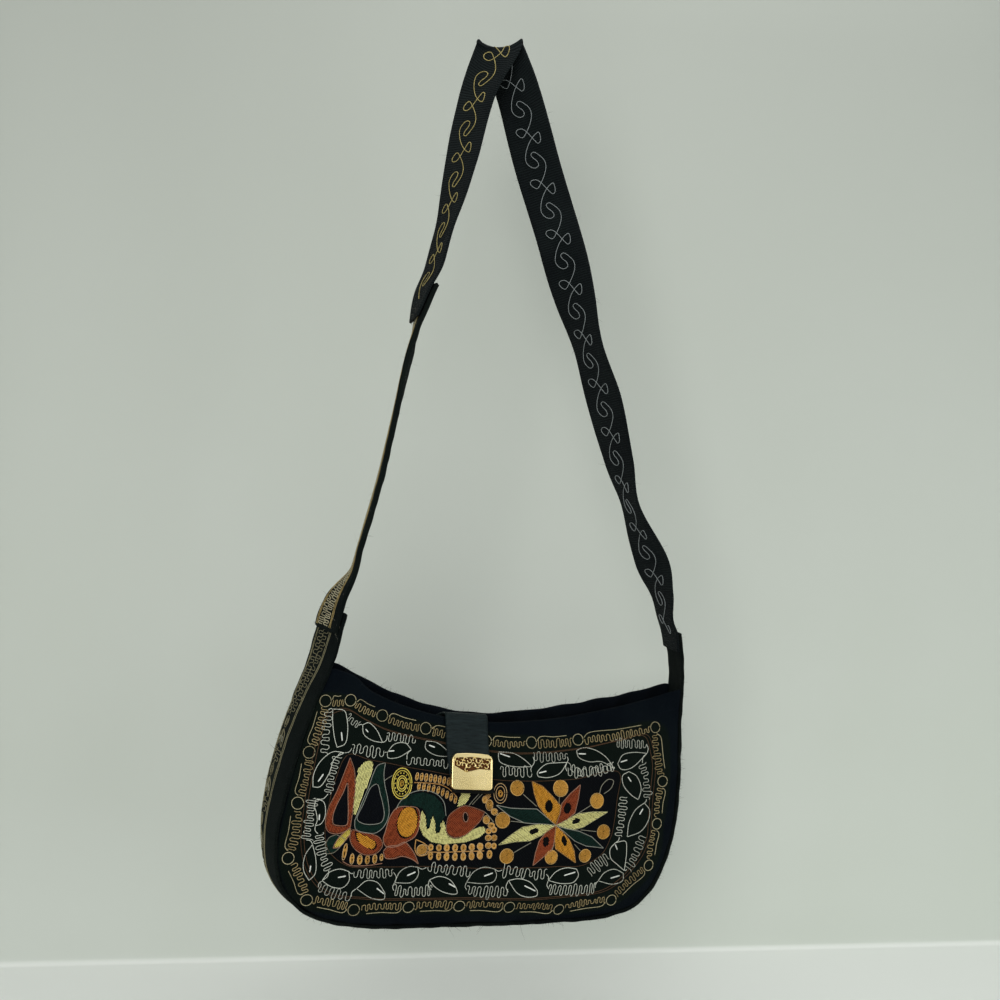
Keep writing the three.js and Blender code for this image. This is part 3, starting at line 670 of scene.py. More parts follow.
def gusset_relief(u, v):
    """Puckers drawn by both seams, tight along them and quiet in the middle."""
    s = u * FRONT_SEAM["long"]
    edge = np.exp(-v / 0.16) + np.exp(-(1 - v) / 0.16)
    drawn = edge * (0.1 * np.sin(2 * math.pi * s / 13.3) + 0.12 * np.sin(2 * math.pi * s / 21.9))
    return drawn + puckers(s, 50 * v, 0.14)


def strap_relief(u, v):
    """A long strip never lies quite flat across."""
    s = u * ROUTE_LONG
    return puckers(s / 2.2, 30 * v, 0.16)


print("puckers reach", round(float(front_relief(*np.meshgrid(np.linspace(0, 1, 90),
                                                              np.linspace(0, 1, 60))).max()), 2), "mm")

# %% The cloth pieces


def panel_wall(surface):
    """One cloth thick, and two where the rim is turned over into a hem."""
    share = HEM_DEPTH / height_at(surface, 0.5)

    def wall(u, v):
        return PANEL_WALL + (HEM_WALL - PANEL_WALL) * smooth(v, 1 - 1.12 * share, 1 - share)

    return wall


def one_wall(thick):
    return lambda u, v: thick + 0 * u


def even(count, low=0.0, high=1.0):
    return np.linspace(low, high, count + 1)


def mirrored_back(u, v):
    return hang(back_surface(1 - u, v))


panel_rows = np.unique(np.concatenate([even(64), even(18, 0.9, 1)]))
front, front_cut = cloth("embroidered_front", hung(front_surface), even(190), panel_rows,
                         panel_wall(front_surface), front_relief)
back, back_cut = cloth("plain_back", mirrored_back, even(120), panel_rows,
                       panel_wall(back_surface), back_relief)
side_strip, side_cut = cloth("side_strip", hung(gusset_surface), even(500), even(20),
                             one_wall(GUSSET_WALL), gusset_relief)

# %% The strap and the tab


def webbing_offset(u):
    """Inside the right tail at one end, on the lower strip's outer face at the other."""
    lap = SPLICE_LAP / (WEBBING_TO - WEBBING_FROM)
    tuck = -(GUSSET_WALL + WEBBING_WALL) / 2 - SPLICE_GAP
    lift = (EXTENSION_WALL + WEBBING_WALL) / 4 + SPLICE_GAP / 2
    return tuck * (1 - smooth(1 - u, 1.6 * lap, 3.4 * lap)) + lift * (1 - smooth(u, 1.6 * lap, 3.4 * lap))


def extension_offset(u):
    """On the left tail's outer face, crossing to lie under the webbing's end."""
    on_tail = (EXTENSION_END_WALL + GUSSET_WALL) / 2 + SPLICE_GAP
    under = -(EXTENSION_WALL + WEBBING_WALL) / 4 - SPLICE_GAP / 2
    return on_tail + (under - on_tail) * smooth(u, 0.1, 0.5)


def extension_wall(u, v):
    """Worn thin where it is sewn to the tail, and softly rounded across."""
    wall = EXTENSION_END_WALL + (EXTENSION_WALL - EXTENSION_END_WALL) * smooth(u, 0.02, 0.16)
    return wall * (0.62 + 0.38 * np.sin(np.pi * np.clip(v, 0.02, 0.98)) ** 0.5)


WEBBING_FROM, WEBBING_TO = SPLICE_AT - SPLICE_LAP, ROUTE_LONG - SPLICE_LAP
EXTENSION_FROM, EXTENSION_TO = SPLICE_LAP, SPLICE_AT + SPLICE_LAP
webbing_surface = strip_surface(WEBBING_FROM, WEBBING_TO, WEBBING_WIDTH, webbing_offset)
extension_surface = strip_surface(EXTENSION_FROM, EXTENSION_TO, EXTENSION_WIDTH, extension_offset)
top_share = (TOP_AT - WEBBING_FROM) / (WEBBING_TO - WEBBING_FROM)
webbing_columns = np.unique(np.concatenate([even(640), even(90, top_share - 0.02, top_share + 0.02)]))

webbing, webbing_cut = cloth("strap_tape", webbing_surface, webbing_columns, even(18),
                             one_wall(WEBBING_WALL), strap_relief)
extension, extension_cut = cloth("strap_lower_strip", extension_surface, even(300), even(18),
                                 extension_wall, strap_relief)
tab, tab_cut = cloth("tab_strip", hung(tab_surface), even(150), even(24),
                     one_wall(TAB_WALL))

# %% [markdown]
# ## The cast plate
# The plate is a casting with a polished lower half and raised scrolls in a sunk band above it. All
# of that is height over a flat outline, so the plate is a height field: a grid, rounded at its
# corners, whose height comes from distances to the edge, to the band's outline and to the scrolls.
# The same heights tell the material where the patina sits.

# %% Clasp relief
CLASP_BEVEL = 0.7
SCROLL_WIRE = 0.5
SCROLLS = [
    (-0.76, 0.62, 0.11, 40, 260), (-0.56, 0.56, 0.1, 200, 250), (-0.36, 0.64, 0.1, 20, 250),
    (-0.14, 0.58, 0.11, 180, 260), (0.08, 0.64, 0.1, 330, 250), (0.3, 0.58, 0.11, 150, 250),
    (0.52, 0.64, 0.1, 20, 240), (0.74, 0.56, 0.12, 220, 270), (-0.66, 0.4, 0.1, 150, 230),
    (-0.42, 0.34, 0.11, 330, 240), (-0.18, 0.3, 0.11, 120, 250), (0.04, 0.38, 0.1, 300, 240),
    (0.26, 0.32, 0.11, 160, 240), (0.48, 0.36, 0.11, 20, 240), (0.7, 0.3, 0.1, 200, 240),
    (-0.28, 0.1, 0.1, 60, 240),
]
BAND_OUTLINE = [(-0.9, 0.3), (-0.3, -0.06), (0.36, 0.14), (0.9, 0.1), (0.9, 0.72), (0, 0.79), (-0.9, 0.72)]


def to_segments(x, y, line):
    """The distance from every point to the nearest straight piece of a line."""
    near = np.full(x.shape, 1e9)
    for (x0, y0), (x1, y1) in zip(line[:-1], line[1:]):
        run = np.array([x1 - x0, y1 - y0])
        t = np.clip(((x - x0) * run[0] + (y - y0) * run[1]) / (run @ run), 0, 1)
        near = np.minimum(near, np.hypot(x - x0 - t * run[0], y - y0 - t * run[1]))
    return near


def inside(x, y, line):
    """True where a ray to the right crosses the closed line an odd number of times."""
    odd = np.zeros(x.shape, bool)
    for (x0, y0), (x1, y1) in zip(line, np.roll(line, -1, axis=0)):
        with np.errstate(divide="ignore", invalid="ignore"):
            cross = (x1 - x0) * (y - y0) / (y1 - y0) + x0
        odd ^= ((y0 > y) != (y1 > y)) & (x < cross)
    return odd


def scroll_line(x, z, radius, start, sweep):
    """An arc whose radius shrinks by a third along it."""
    share = np.linspace(0, 1, 12)
    angle = np.radians(start + sweep * share)
    reach = radius * CLASP_WIDTH / 2 * (1 - 0.35 * share)
    across, up = x * CLASP_WIDTH / 2, z * CLASP_HEIGHT / 2
    return np.stack([across + reach * np.cos(angle), up + reach * np.sin(angle)], axis=1)


def plate_height(x, y, edge):
    """The wall, less a rounded bevel at the edge and the sunk band, plus half-round scrolls."""
    t = np.clip(edge / CLASP_BEVEL, 0, 1)
    top = CLASP_WALL - CLASP_BEVEL * (1 - np.sqrt(1 - (1 - t) ** 2))
    outline = np.array(BAND_OUTLINE) * [CLASP_WIDTH / 2, CLASP_HEIGHT / 2]
    band = np.where(inside(x, y, outline), 1, -1) * to_segments(x, y, np.vstack([outline, outline[:1]]))
    floor = CLASP_WALL - CLASP_RECESS
    sunk = top - (top - floor) * smooth(band, 0, 0.45)
    grain = 0.05 * np.sin(x * 5.1 + 2 * np.sin(y * 2.3)) * np.sin(y * 4.7 + 1.4 * np.sin(x * 2.9))
    sunk = sunk + grain * smooth(band, 0.2, 0.7)
    near = np.min([to_segments(x, y, scroll_line(*row)) for row in SCROLLS], axis=0)
    wire = floor + 1.15 * np.sqrt(np.clip(1 - (near / SCROLL_WIRE) ** 2, 0, 1))
    return np.where(band > 0, np.maximum(sunk, np.where(near < SCROLL_WIRE, wire, 0)), top)


# %% Clasp plate


def plate():
    """Front and back faces of the plate on one grid, closed by a wall between their borders."""
    w, h = CLASP_WIDTH / 2, CLASP_HEIGHT / 2
    edge = CLASP_BEVEL * np.array([0, 0.08, 0.2, 0.4, 0.65, 1])

    def lane(half, count):
        flat = np.linspace(CLASP_BEVEL - half, half - CLASP_BEVEL, count)[1:-1]
        return np.concatenate([edge - half, flat, (half - edge)[::-1]])

    a, b = np.meshgrid(lane(w, 130), lane(h, 108))
    inset = np.minimum(w - abs(a), h - abs(b))
    radius = np.where(b > 0, 4.4, 3)
    p = np.clip((abs(a) - (w - radius)) / radius, 0, 1)
    q = np.clip((abs(b) - (h - radius)) / radius, 0, 1)
    x = np.sign(a) * (abs(a) - radius * p * (1 - np.sqrt(1 - q * q / 2)))
    y = np.sign(b) * (abs(b) - radius * q * (1 - np.sqrt(1 - p * p / 2)))
    y = y - 0.04 * CLASP_HEIGHT * smooth(y, 0, h) * (x / w) ** 2
    z = plate_height(x, y, inset)
    share = np.array([1 - 0.56 * CLASP_HEIGHT / TAB_LONG])
    centre = read(tab_route, tab_length, share * TAB_LONG)[0]
    down = unit(tab_surface(share + 0.01, share * 0 + 0.5) - tab_surface(share - 0.01, share * 0 + 0.5))[0]
    outward = unit(np.array([0, down[2], -down[1]]))
    right = np.array([1, 0, 0])
    up = np.cross(outward, right)
    lift = TAB_WALL / 2 + CLASP_GAP

    def place(x, y, z):
        return hang(centre + x[..., None] * right + y[..., None] * up + (z + lift)[..., None] * outward)

    count = x.size
    face = np.arange(count).reshape(x.shape)
    ring = border_of(face)
    after = np.roll(ring, -1)
    walls = np.stack([after, ring, ring + count, after + count], axis=1)
    points = np.vstack([place(x, y, z).reshape(-1, 3), place(x, y, 0 * z).reshape(-1, 3)])
    faces = np.vstack([quads(face), quads(face + count)[:, ::-1], walls])
    coords = np.tile(np.stack([x, y], axis=-1).reshape(-1, 2), (2, 1))
    piece = make_mesh("clasp_face", points, faces, coords)
    sunk = piece.data.attributes.new("sunk", "FLOAT", "POINT")
    depth = np.clip((CLASP_WALL - z.ravel()) / CLASP_RECESS, 0, 1) * (inset.ravel() > CLASP_BEVEL)
    sunk.data.foreach_set("value", np.concatenate([depth, 0 * depth]).astype(np.float32))
    piece.data.set_sharp_from_angle(angle=math.radians(40))
    print("plate grid", x.shape)
    return piece


clasp = plate()

# %% [markdown]
# ## Materials
# A finish is a Principled shader with its patterns fed in. The patterns are node groups: a weave, a
# cloth's fuzz and fading, a ribbed tape, a leather's grain and rows of stitches. They give only
# masks and heights, and the shader stays in the material, so each finish is easy to read.

# %% Node helpers


def node(tree, kind, *values, **settings):
    """A node with its first inputs set or linked, and its properties set."""
    made = tree.nodes.new(kind)
    for key, value in settings.items():
        setattr(made, key, value)
    for socket, value in zip(made.inputs, values):
        plug(tree, socket, value)
    return made


def plug(tree, socket, value):
    """Sets a socket, or links it when the value is another socket."""
    if isinstance(value, bpy.types.NodeSocket):
        tree.links.new(value, socket)
    elif value is not None:
        socket.default_value = value


def sums(tree, operation, *values):
    return node(tree, "ShaderNodeMath", *values, operation=operation).outputs[0]


def times(tree, a, b):
    return sums(tree, "MULTIPLY", a, b)


def plus(tree, a, b):
    return sums(tree, "ADD", a, b)


def noise(tree, vector, scale, detail=3, rough=0.6):
    made = node(tree, "ShaderNodeTexNoise", vector)
    made.inputs["Scale"].default_value = scale
    made.inputs["Detail"].default_value = detail
    made.inputs["Roughness"].default_value = rough
    return made.outputs[0]


def ramp(tree, fac, *stops):
    """A colour ramp from its stops, each a place and a colour or a grey."""
    made = node(tree, "ShaderNodeValToRGB", fac)
    band = made.color_ramp.elements
    while len(band) < len(stops):
        band.new(1)
    for element, (place, shade) in zip(band, stops):
        element.position = place
        element.color = (*shade, 1) if isinstance(shade, tuple) else (shade, shade, shade, 1)
    return made.outputs[0]


def group(name, inputs, outputs):
    """An empty node group with its sockets."""
    tree = bpy.data.node_groups.new(name, "ShaderNodeTree")
    for label, kind, value in inputs:
        socket = tree.interface.new_socket(label, in_out="INPUT", socket_type="NodeSocket" + kind)
        if value is not None:
            socket.default_value = value
    for label in outputs:
        tree.interface.new_socket(label, in_out="OUTPUT", socket_type="NodeSocketFloat")
    return tree, tree.nodes.new("NodeGroupInput").outputs, tree.nodes.new("NodeGroupOutput").inputs


def use(tree, shared, *values):
    """One use of a shared group in a material."""
    made = node(tree, "ShaderNodeGroup", node_tree=shared)
    for socket, value in zip(made.inputs, values):
        plug(tree, socket, value)
    return made.outputs


def finish(name, **numbers):
    """A material with its Principled shader, and the numbers that are the same all over it."""
    made = bpy.data.materials.new(name)
    made.use_nodes = True
    tree = made.node_tree
    shader = tree.nodes["Principled BSDF"]
    for key, value in numbers.items():
        label = key.replace("_", " ")
        shader.inputs[label].default_value = (*value, 1) if isinstance(value, tuple) else value
    return made, tree, shader


def paint(tree, shader, colour):
    plug(tree, shader.inputs["Base Color"], colour)


def bump(tree, shader, height, distance, strength=1.0, under=None):
    made = node(tree, "ShaderNodeBump")
    made.inputs["Strength"].default_value = strength
    made.inputs["Distance"].default_value = distance
    plug(tree, made.inputs["Height"], height)
    if under is not None:
        plug(tree, made.inputs["Normal"], under)
    plug(tree, shader.inputs["Normal"], made.outputs[0])
    return made.outputs[0]


# %% Shared patterns


def weave_group():
    """Two sets of half-round yarns crossing over and under on a chequer of one pitch."""
    tree, given, made = group("plain weave", [("Map", "Vector", None), ("Per metre", "Float", 1400)],
                              ["Height"])
    wobble = noise(tree, given[0], 260, 2)
    scaled = node(tree, "ShaderNodeVectorMath", given[0], operation="SCALE")
    plug(tree, scaled.inputs["Scale"], given[1])
    parts = node(tree, "ShaderNodeSeparateXYZ", scaled.outputs[0]).outputs
    shift = times(tree, sums(tree, "SUBTRACT", wobble, 0.5), 1.6)
    across = times(tree, plus(tree, parts[0], shift), math.pi)
    along = times(tree, plus(tree, parts[1], shift), math.pi)
    over = times(tree, sums(tree, "SINE", across), sums(tree, "SINE", along))
    warp = sums(tree, "ABSOLUTE", sums(tree, "SINE", across))
    weft = sums(tree, "ABSOLUTE", sums(tree, "SINE", along))
    upper = sums(tree, "GREATER_THAN", over, 0.0)
    plug(tree, made[0], node(tree, "ShaderNodeMix", upper, None, warp, weft, data_type="FLOAT").outputs[0])
    return tree


def fuzz_group():
    """Fine lint over broad fading: two noises, one a hundred times finer than the other."""
    tree, given, made = group("lint and fading", [("Place", "Vector", None)], ["Lint", "Fading"])
    lint = noise(tree, given[0], 1900, 3, 0.75)
    plug(tree, made[0], times(tree, lint, noise(tree, given[0], 240, 2)))
    plug(tree, made[1], noise(tree, given[0], 22, 5))
    return tree


def rib_group():
    """Ribs straight across a tape, half-round, with fine yarns along them. The second output marks the
    valleys between the ribs, where the tape gets a painted shade.
    """
    tree, given, made = group("ribbed tape", [("Map", "Vector", None)], ["Height", "Valley"])
    parts = node(tree, "ShaderNodeSeparateXYZ", given[0]).outputs
    wander = times(tree, sums(tree, "SUBTRACT", noise(tree, given[0], 160, 2), 0.5), 1.1)
    turns = plus(tree, times(tree, parts[0], math.pi / 0.0018), wander)
    rib = sums(tree, "ABSOLUTE", sums(tree, "SINE", turns))
    yarn = sums(tree, "SINE", times(tree, parts[1], 2 * math.pi / 0.0007))
    height = plus(tree, rib, times(tree, yarn, 0.18))
    plug(tree, made[0], height)
    plug(tree, made[1], sums(tree, "SUBTRACT", 1.0, rib))
    return tree


def grain_group():
    """Leather grain: cells pulled long across the strip, with fine noise in them."""
    tree, given, made = group("leather grain", [("Map", "Vector", None)], ["Height", "Worn"])
    pulled = node(tree, "ShaderNodeMapping", given[0])
    pulled.inputs["Scale"].default_value = (1.6, 0.16, 1)
    cells = node(tree, "ShaderNodeTexVoronoi", pulled.outputs[0], feature="SMOOTH_F1")
    cells.inputs["Scale"].default_value = 900
    plug(tree, made[0], plus(tree, cells.outputs[0],
                             times(tree, noise(tree, pulled.outputs[0], 2600, 3), 0.5)))
    plug(tree, made[1], noise(tree, given[0], 130, 4))
    return tree


def rows_group():
    """Upright rows of tiny chain stitches: ridges a millimetre apart, pinched every two."""
    tree, given, made = group("stitched rows", [("Map", "Vector", None)], ["Height"])
    parts = node(tree, "ShaderNodeSeparateXYZ", given[0]).outputs
    wander = times(tree, sums(tree, "SUBTRACT", noise(tree, given[0], 150, 2), 0.5), 5.0)
    row = plus(tree, times(tree, parts[0], math.pi / 0.001), wander)
    link = times(tree, parts[1], math.pi / 0.0021)
    stagger = times(tree, sums(tree, "FLOOR", sums(tree, "DIVIDE", row, math.pi)), 1.7)
    ridge = sums(tree, "ABSOLUTE", sums(tree, "SINE", row))
    pinch = sums(tree, "ABSOLUTE", sums(tree, "SINE", plus(tree, link, stagger)))
    plug(tree, made[0], times(tree, ridge, plus(tree, times(tree, pinch, 0.6), 0.4)))
    return tree


WEAVE, FUZZ, RIBS, GRAIN, ROWS = weave_group(), fuzz_group(), rib_group(), grain_group(), rows_group()
print("shared patterns:", [tree.name for tree in (WEAVE, FUZZ, RIBS, GRAIN, ROWS)])

# %% Cloth and leather finishes
DULL = {"Sheen_Roughness": 0.5, "Sheen_Tint": (0.5, 0.6, 0.62), "Specular_IOR_Level": 0.03}


def place_of(tree):
    return tree.nodes.new("ShaderNodeTexCoord").outputs["Object"]


def map_of(tree):
    return tree.nodes.new("ShaderNodeUVMap").outputs["UV"]


def mixed(tree, fac, first, second, blend="MIX"):
    made = node(tree, "ShaderNodeMix", data_type="RGBA", blend_type=blend)
    plug(tree, made.inputs[0], fac)
    plug(tree, made.inputs[6], first if not isinstance(first, tuple) else (*first, 1))
    plug(tree, made.inputs[7], second if not isinstance(second, tuple) else (*second, 1))
    return made.outputs[2]


def faded(tree, fuzz, dark, worn):
    """A dye that has gone paler in broad patches."""
    return mixed(tree, ramp(tree, fuzz[1], (0.35, 0.0), (0.75, 1.0)), dark, worn)


def black_cloth(name, dark, worn, lint, per_metre):
    """A plain cloth in near black: fading towards a paler tone, lint over it, a weave in relief whose
    valleys get a painted shade.
    """
    made, tree, shader = finish(name, Roughness=0.95, Sheen_Weight=0.02, **DULL)
    weave = use(tree, WEAVE, map_of(tree), float(per_metre))[0]
    fuzz = use(tree, FUZZ, place_of(tree))
    dye = faded(tree, fuzz, dark, worn)
    # Painted shade: the colour of the weave's valleys is darkened towards black.
    shaded_weave = mixed(tree, ramp(tree, weave, (0.0, 0.45), (0.6, 1.0)), (0.0, 0.0, 0.0), dye)
    speck = ramp(tree, fuzz[0], (0.40, 0.0), (0.56, 0.4))
    paint(tree, shader, mixed(tree, speck, shaded_weave, lint))
    soft = bump(tree, shader, fuzz[0], 0.0008, 0.5)
    bump(tree, shader, weave, 0.00035, 0.8, soft)
    return made


def worked_cloth():
    """The front's cloth: navy black where it is plain, and covered with dark stitches inside the borders,
    green black under the white work and aubergine black round the motif. The crests of the stitched
    rows carry a painted highlight."""
    made, tree, shader = finish("worked black cotton", Roughness=0.92, Sheen_Weight=0.015, **DULL)
    weave = use(tree, WEAVE, map_of(tree), 1250.0)[0]
    rows = use(tree, ROWS, map_of(tree))[0]
    fuzz = use(tree, FUZZ, place_of(tree))
    worked = node(tree, "ShaderNodeAttribute", attribute_name="worked").outputs["Fac"]
    panel = node(tree, "ShaderNodeAttribute", attribute_name="panel").outputs["Fac"]
    plain = faded(tree, fuzz, (0.0010, 0.0021, 0.0040), (0.0028, 0.0050, 0.0068))
    ground = mixed(tree, panel, (0.0022, 0.0046, 0.0031), (0.0014, 0.0013, 0.0026))
    # Painted highlight: the crests of the stitched rows are lighter than the ground between them.
    lit = mixed(tree, ramp(tree, rows, (0.35, 0.0), (1.0, 0.6)), ground, (0.0052, 0.0080, 0.0070))
    both = mixed(tree, worked, plain, lit)
    speck = ramp(tree, fuzz[0], (0.42, 0.0), (0.58, 0.4))
    paint(tree, shader, mixed(tree, speck, both, (0.013, 0.018, 0.017)))
    thin = times(tree, weave, 0.4)
    height = node(tree, "ShaderNodeMix", worked, None, thin, rows, data_type="FLOAT").outputs[0]
    soft = bump(tree, shader, fuzz[0], 0.0008, 0.5)
    bump(tree, shader, height, 0.0005, 0.9, soft)
    return made


front_finish = worked_cloth()
back_finish = black_cloth("black lining", (0.0016, 0.0026, 0.0048), (0.0045, 0.0068, 0.010),
                          (0.02, 0.026, 0.028), 1400)
side_finish = black_cloth("black side cloth", (0.0026, 0.0042, 0.0040), (0.007, 0.010, 0.008),
                          (0.05, 0.05, 0.035), 1250)


def tape_finish():
    made, tree, shader = finish("ribbed black tape", Roughness=0.85, Sheen_Weight=0.02,
                                Sheen_Roughness=0.45, Sheen_Tint=(0.6, 0.65, 0.7), Specular_IOR_Level=0.06)
    ribs = use(tree, RIBS, map_of(tree))
    fuzz = use(tree, FUZZ, place_of(tree))
    dye = faded(tree, fuzz, (0.0032, 0.0052, 0.0060), (0.0085, 0.0125, 0.0125))
    # Painted shade: the valleys between the ribs are darkened towards black.
    shaded = mixed(tree, ramp(tree, ribs[1], (0.4, 0.0), (1.0, 0.85)), dye, (0.0006, 0.0008, 0.001))
    speck = ramp(tree, fuzz[0], (0.42, 0.0), (0.56, 0.4))
    paint(tree, shader, mixed(tree, speck, shaded, (0.04, 0.05, 0.048)))
    soft = bump(tree, shader, fuzz[0], 0.0006, 0.4)
    bump(tree, shader, ribs[0], 0.0007, 1.0, soft)
    return made


def tab_finish():
    made, tree, shader = finish("slate leather", Specular_IOR_Level=0.1)
    grain = use(tree, GRAIN, map_of(tree))
    worn = ramp(tree, grain[1], (0.4, 0.0), (0.72, 1.0))
    tone = mixed(tree, worn, (0.0020, 0.0042, 0.0048), (0.0042, 0.0080, 0.0086))
    # Painted shadow of the plate: from about 0.098 m along, where the tab runs under the plate, its colour
    # goes near black and the lighter crests of the grain are taken away there.
    along = node(tree, "ShaderNodeSeparateXYZ", map_of(tree)).outputs[0]
    tone = mixed(tree, ramp(tree, along, (0.097, 0.0), (0.0985, 1.0)), tone, (0.0008, 0.001, 0.001))
    crest = times(tree, ramp(tree, grain[0], (0.25, 0.0), (0.9, 0.8)),
                 ramp(tree, along, (0.097, 1.0), (0.0985, 0.0)))
    paint(tree, shader, mixed(tree, crest, tone, (0.0092, 0.0160, 0.0172)))
    plug(tree, shader.inputs["Roughness"], ramp(tree, worn, (0.0, 0.55), (1.0, 0.42)))
    bump(tree, shader, grain[0], 0.0006, 1.0)
    return made


def dress(piece, material):
    piece.data.materials.append(material)
    return piece


dress(front, front_finish)
dress(back, back_finish)
dress(side_strip, side_finish)
dress(webbing, tape_finish())
dress(extension, side_finish)
dress(tab, tab_finish())
print("cloth and leather finishes on", 6, "pieces")

# %% Metal finishes


def plate_finish():
    """Pale gold, rubbed bright on its high places, with a brown patina where the plate is sunk."""
    made, tree, shader = finish("pale gold plate", Metallic=1.0, Specular_IOR_Level=0.5)
    sunk = node(tree, "ShaderNodeAttribute", attribute_name="sunk").outputs["Fac"]
    place = place_of(tree)
    cloud = noise(tree, place, 40, 3)
    gold = mixed(tree, ramp(tree, cloud, (0.35, 0.0), (0.7, 1.0)), (0.80, 0.63, 0.29), (0.86, 0.71, 0.37))
    patina = ramp(tree, plus(tree, sunk, times(tree, cloud, 0.2)), (0.45, 0.0), (0.95, 1.0))
    paint(tree, shader, mixed(tree, patina, gold, (0.095, 0.036, 0.013)))
    rough = plus(tree, ramp(tree, cloud, (0.35, 0.24), (0.7, 0.31)), times(tree, patina, 0.3))
    plug(tree, shader.inputs["Roughness"], rough)
    return made


def stud_finish():
    made, tree, shader = finish("stud metal", Metallic=1.0)
    cloud = noise(tree, place_of(tree), 160, 4)
    paint(tree, shader,
         mixed(tree, ramp(tree, cloud, (0.3, 0.0), (0.7, 1.0)), (0.42, 0.36, 0.22), (0.6, 0.53, 0.36)))
    plug(tree, shader.inputs["Roughness"], ramp(tree, cloud, (0.3, 0.3), (0.7, 0.5)))
    return made


dress(clasp, plate_finish())
stud = frame["nodes"]["snap_stud"]
print("stud is", stud)

# %% [markdown]
# ## Where a thread lies
# The embroidery was charted over enlargements of the photograph, one of the whole panel and
# two closer ones. A chart's point is followed back to the cloth.
# whole grid at once: it nudges the surface's two shares until each point falls where it should.
# The grid is then read in between.

# %% Inverse maps
CHARTS = {"whole": (250, 640, 3.484), "left": (270, 740, 7.467), "right": (440, 740, 7.127)}


def front_face(u, v):
    """The outer face of the dressed front panel, in the bag's upright frame, and its normal."""
    step = 0.004
    a, b = np.clip(u, 0.02, 0.98), np.clip(v, 0.02, 0.98)
    along = front_surface(a + step, b) - front_surface(a - step, b)
    up = front_surface(a, b + step) - front_surface(a, b - step)
    normal = unit(np.cross(along, up))
    lift = front_relief(u, v) + panel_wall(front_surface)(u, v) / 2
    return front_surface(u, v) + lift[..., None] * normal, normal


def solve(place, target, u, v):
    """Newton's method for the shares at which place(u, v) gives the target, from a first guess."""
    step = 0.002
    for _ in range(9):
        here = place(u, v)
        du = (place(u + step, v) - here) / step
        dv = (place(u, v + step) - here) / step
        miss = target - here
        det = du[..., 0] * dv[..., 1] - du[..., 1] * dv[..., 0]
        det = np.where(abs(det) < 1e-6, 1e-6, det)
        u = np.clip(u + 0.9 * (miss[..., 0] * dv[..., 1] - miss[..., 1] * dv[..., 0]) / det, 0.001, 0.995)
        v = np.clip(v + 0.9 * (miss[..., 1] * du[..., 0] - miss[..., 0] * du[..., 1]) / det, 0.001, 0.995)
    return u, v


def between(grid, origin, step, points):
    """A grid of values read between its points, straight both ways."""
    at = (points - origin) / step
    cell = np.clip(np.floor(at).astype(int), 0, [grid.shape[1] - 2, grid.shape[0] - 2])
    f = np.clip(at - cell, 0, 1)
    i, j, fx, fy = cell[..., 0], cell[..., 1], f[..., :1], f[..., 1:]
    low = grid[j, i] * (1 - fx) + grid[j, i + 1] * fx
    high = grid[j + 1, i] * (1 - fx) + grid[j + 1, i + 1] * fx
    return low * (1 - fy) + high * fy


PICTURE_ORIGIN, PICTURE_STEP = np.array([255, 655]), 3
across, down = np.meshgrid(np.arange(255, 700, 3.0), np.arange(655, 935, 3.0))
u, v = solve(lambda a, b: picture_point(hang(front_face(a, b)[0])), np.stack([across, down], axis=-1),
             np.clip((across - 275) / 400, 0.05, 0.95), np.clip((925 - down) / 240, 0.05, 0.95))
picture_grid = front_face(u, v)[0][..., [0, 2]]

CLOTH_ORIGIN, CLOTH_STEP = np.array([-150.0, -4.0]), 1.5
across, up = np.meshgrid(np.arange(-150, 151, 1.5), np.arange(-4, 186, 1.5))
u, v = solve(lambda a, b: front_face(a, b)[0][..., [0, 2]], np.stack([across, up], axis=-1),
             np.clip((across + 148) / 296, 0.05, 0.95), np.clip(up / 150, 0.05, 0.95))
face, normal = front_face(u, v)
cloth_grid = np.concatenate([face[..., 1:2], normal], axis=-1)
print("inverse maps", picture_grid.shape, cloth_grid.shape)


def drawn(chart, points):
    """Points of a chart as places on the front panel: across and up from its foot, in mm."""
    x, y, scale = CHARTS[chart]
    return between(picture_grid, PICTURE_ORIGIN, PICTURE_STEP, np.reshape(points, (-1, 2)) / scale + [x, y])


def reach(chart, size):
    """A length on a chart in mm of cloth, near the middle of the panel."""
    a, b = drawn(chart, [(700, 500), (700 + size, 500)])
    return float(np.linalg.norm(b - a))


def on_front(flat):
    """Places on the front panel lifted to its outer face, with the normals there."""
    found = between(cloth_grid, CLOTH_ORIGIN, CLOTH_STEP, flat)
    points = np.stack([flat[:, 0], found[:, 0], flat[:, 1]], axis=1)
    return hang(points), unit(hang(found[:, 1:] + points) - hang(points))


def on_strip(surface, long, wide, face, wall):
    """Returns the lift of places on a strip: its own length and width in mm, on one of its faces."""
    def place(flat):
        u, v = flat[:, 0] / long, flat[:, 1] / wide
        a, b = np.clip(u, 0.003, 0.997), np.clip(v, 0.02, 0.98)
        along = surface(a + 0.002, b) - surface(a - 0.002, b)
        across = surface(a, b + 0.01) - surface(a, b - 0.01)
        normal = face * unit(np.cross(along, across))
        return surface(u, v) + (wall(u, v) / 2)[:, None] * normal, normal

    return place


# %% [markdown]
# ## Threads
# A chain stitch is a row of small loops, so its line swells and pinches every couple of millimetres.
# A flattened tube with that pulse in its width gives the look, and thousands of them fit in one
# mesh for each colour. Real loops would cost twenty times the faces and look no different.

# %% Thread builder
STEP = 0.6
LINK = 1.6
SIDES = 5


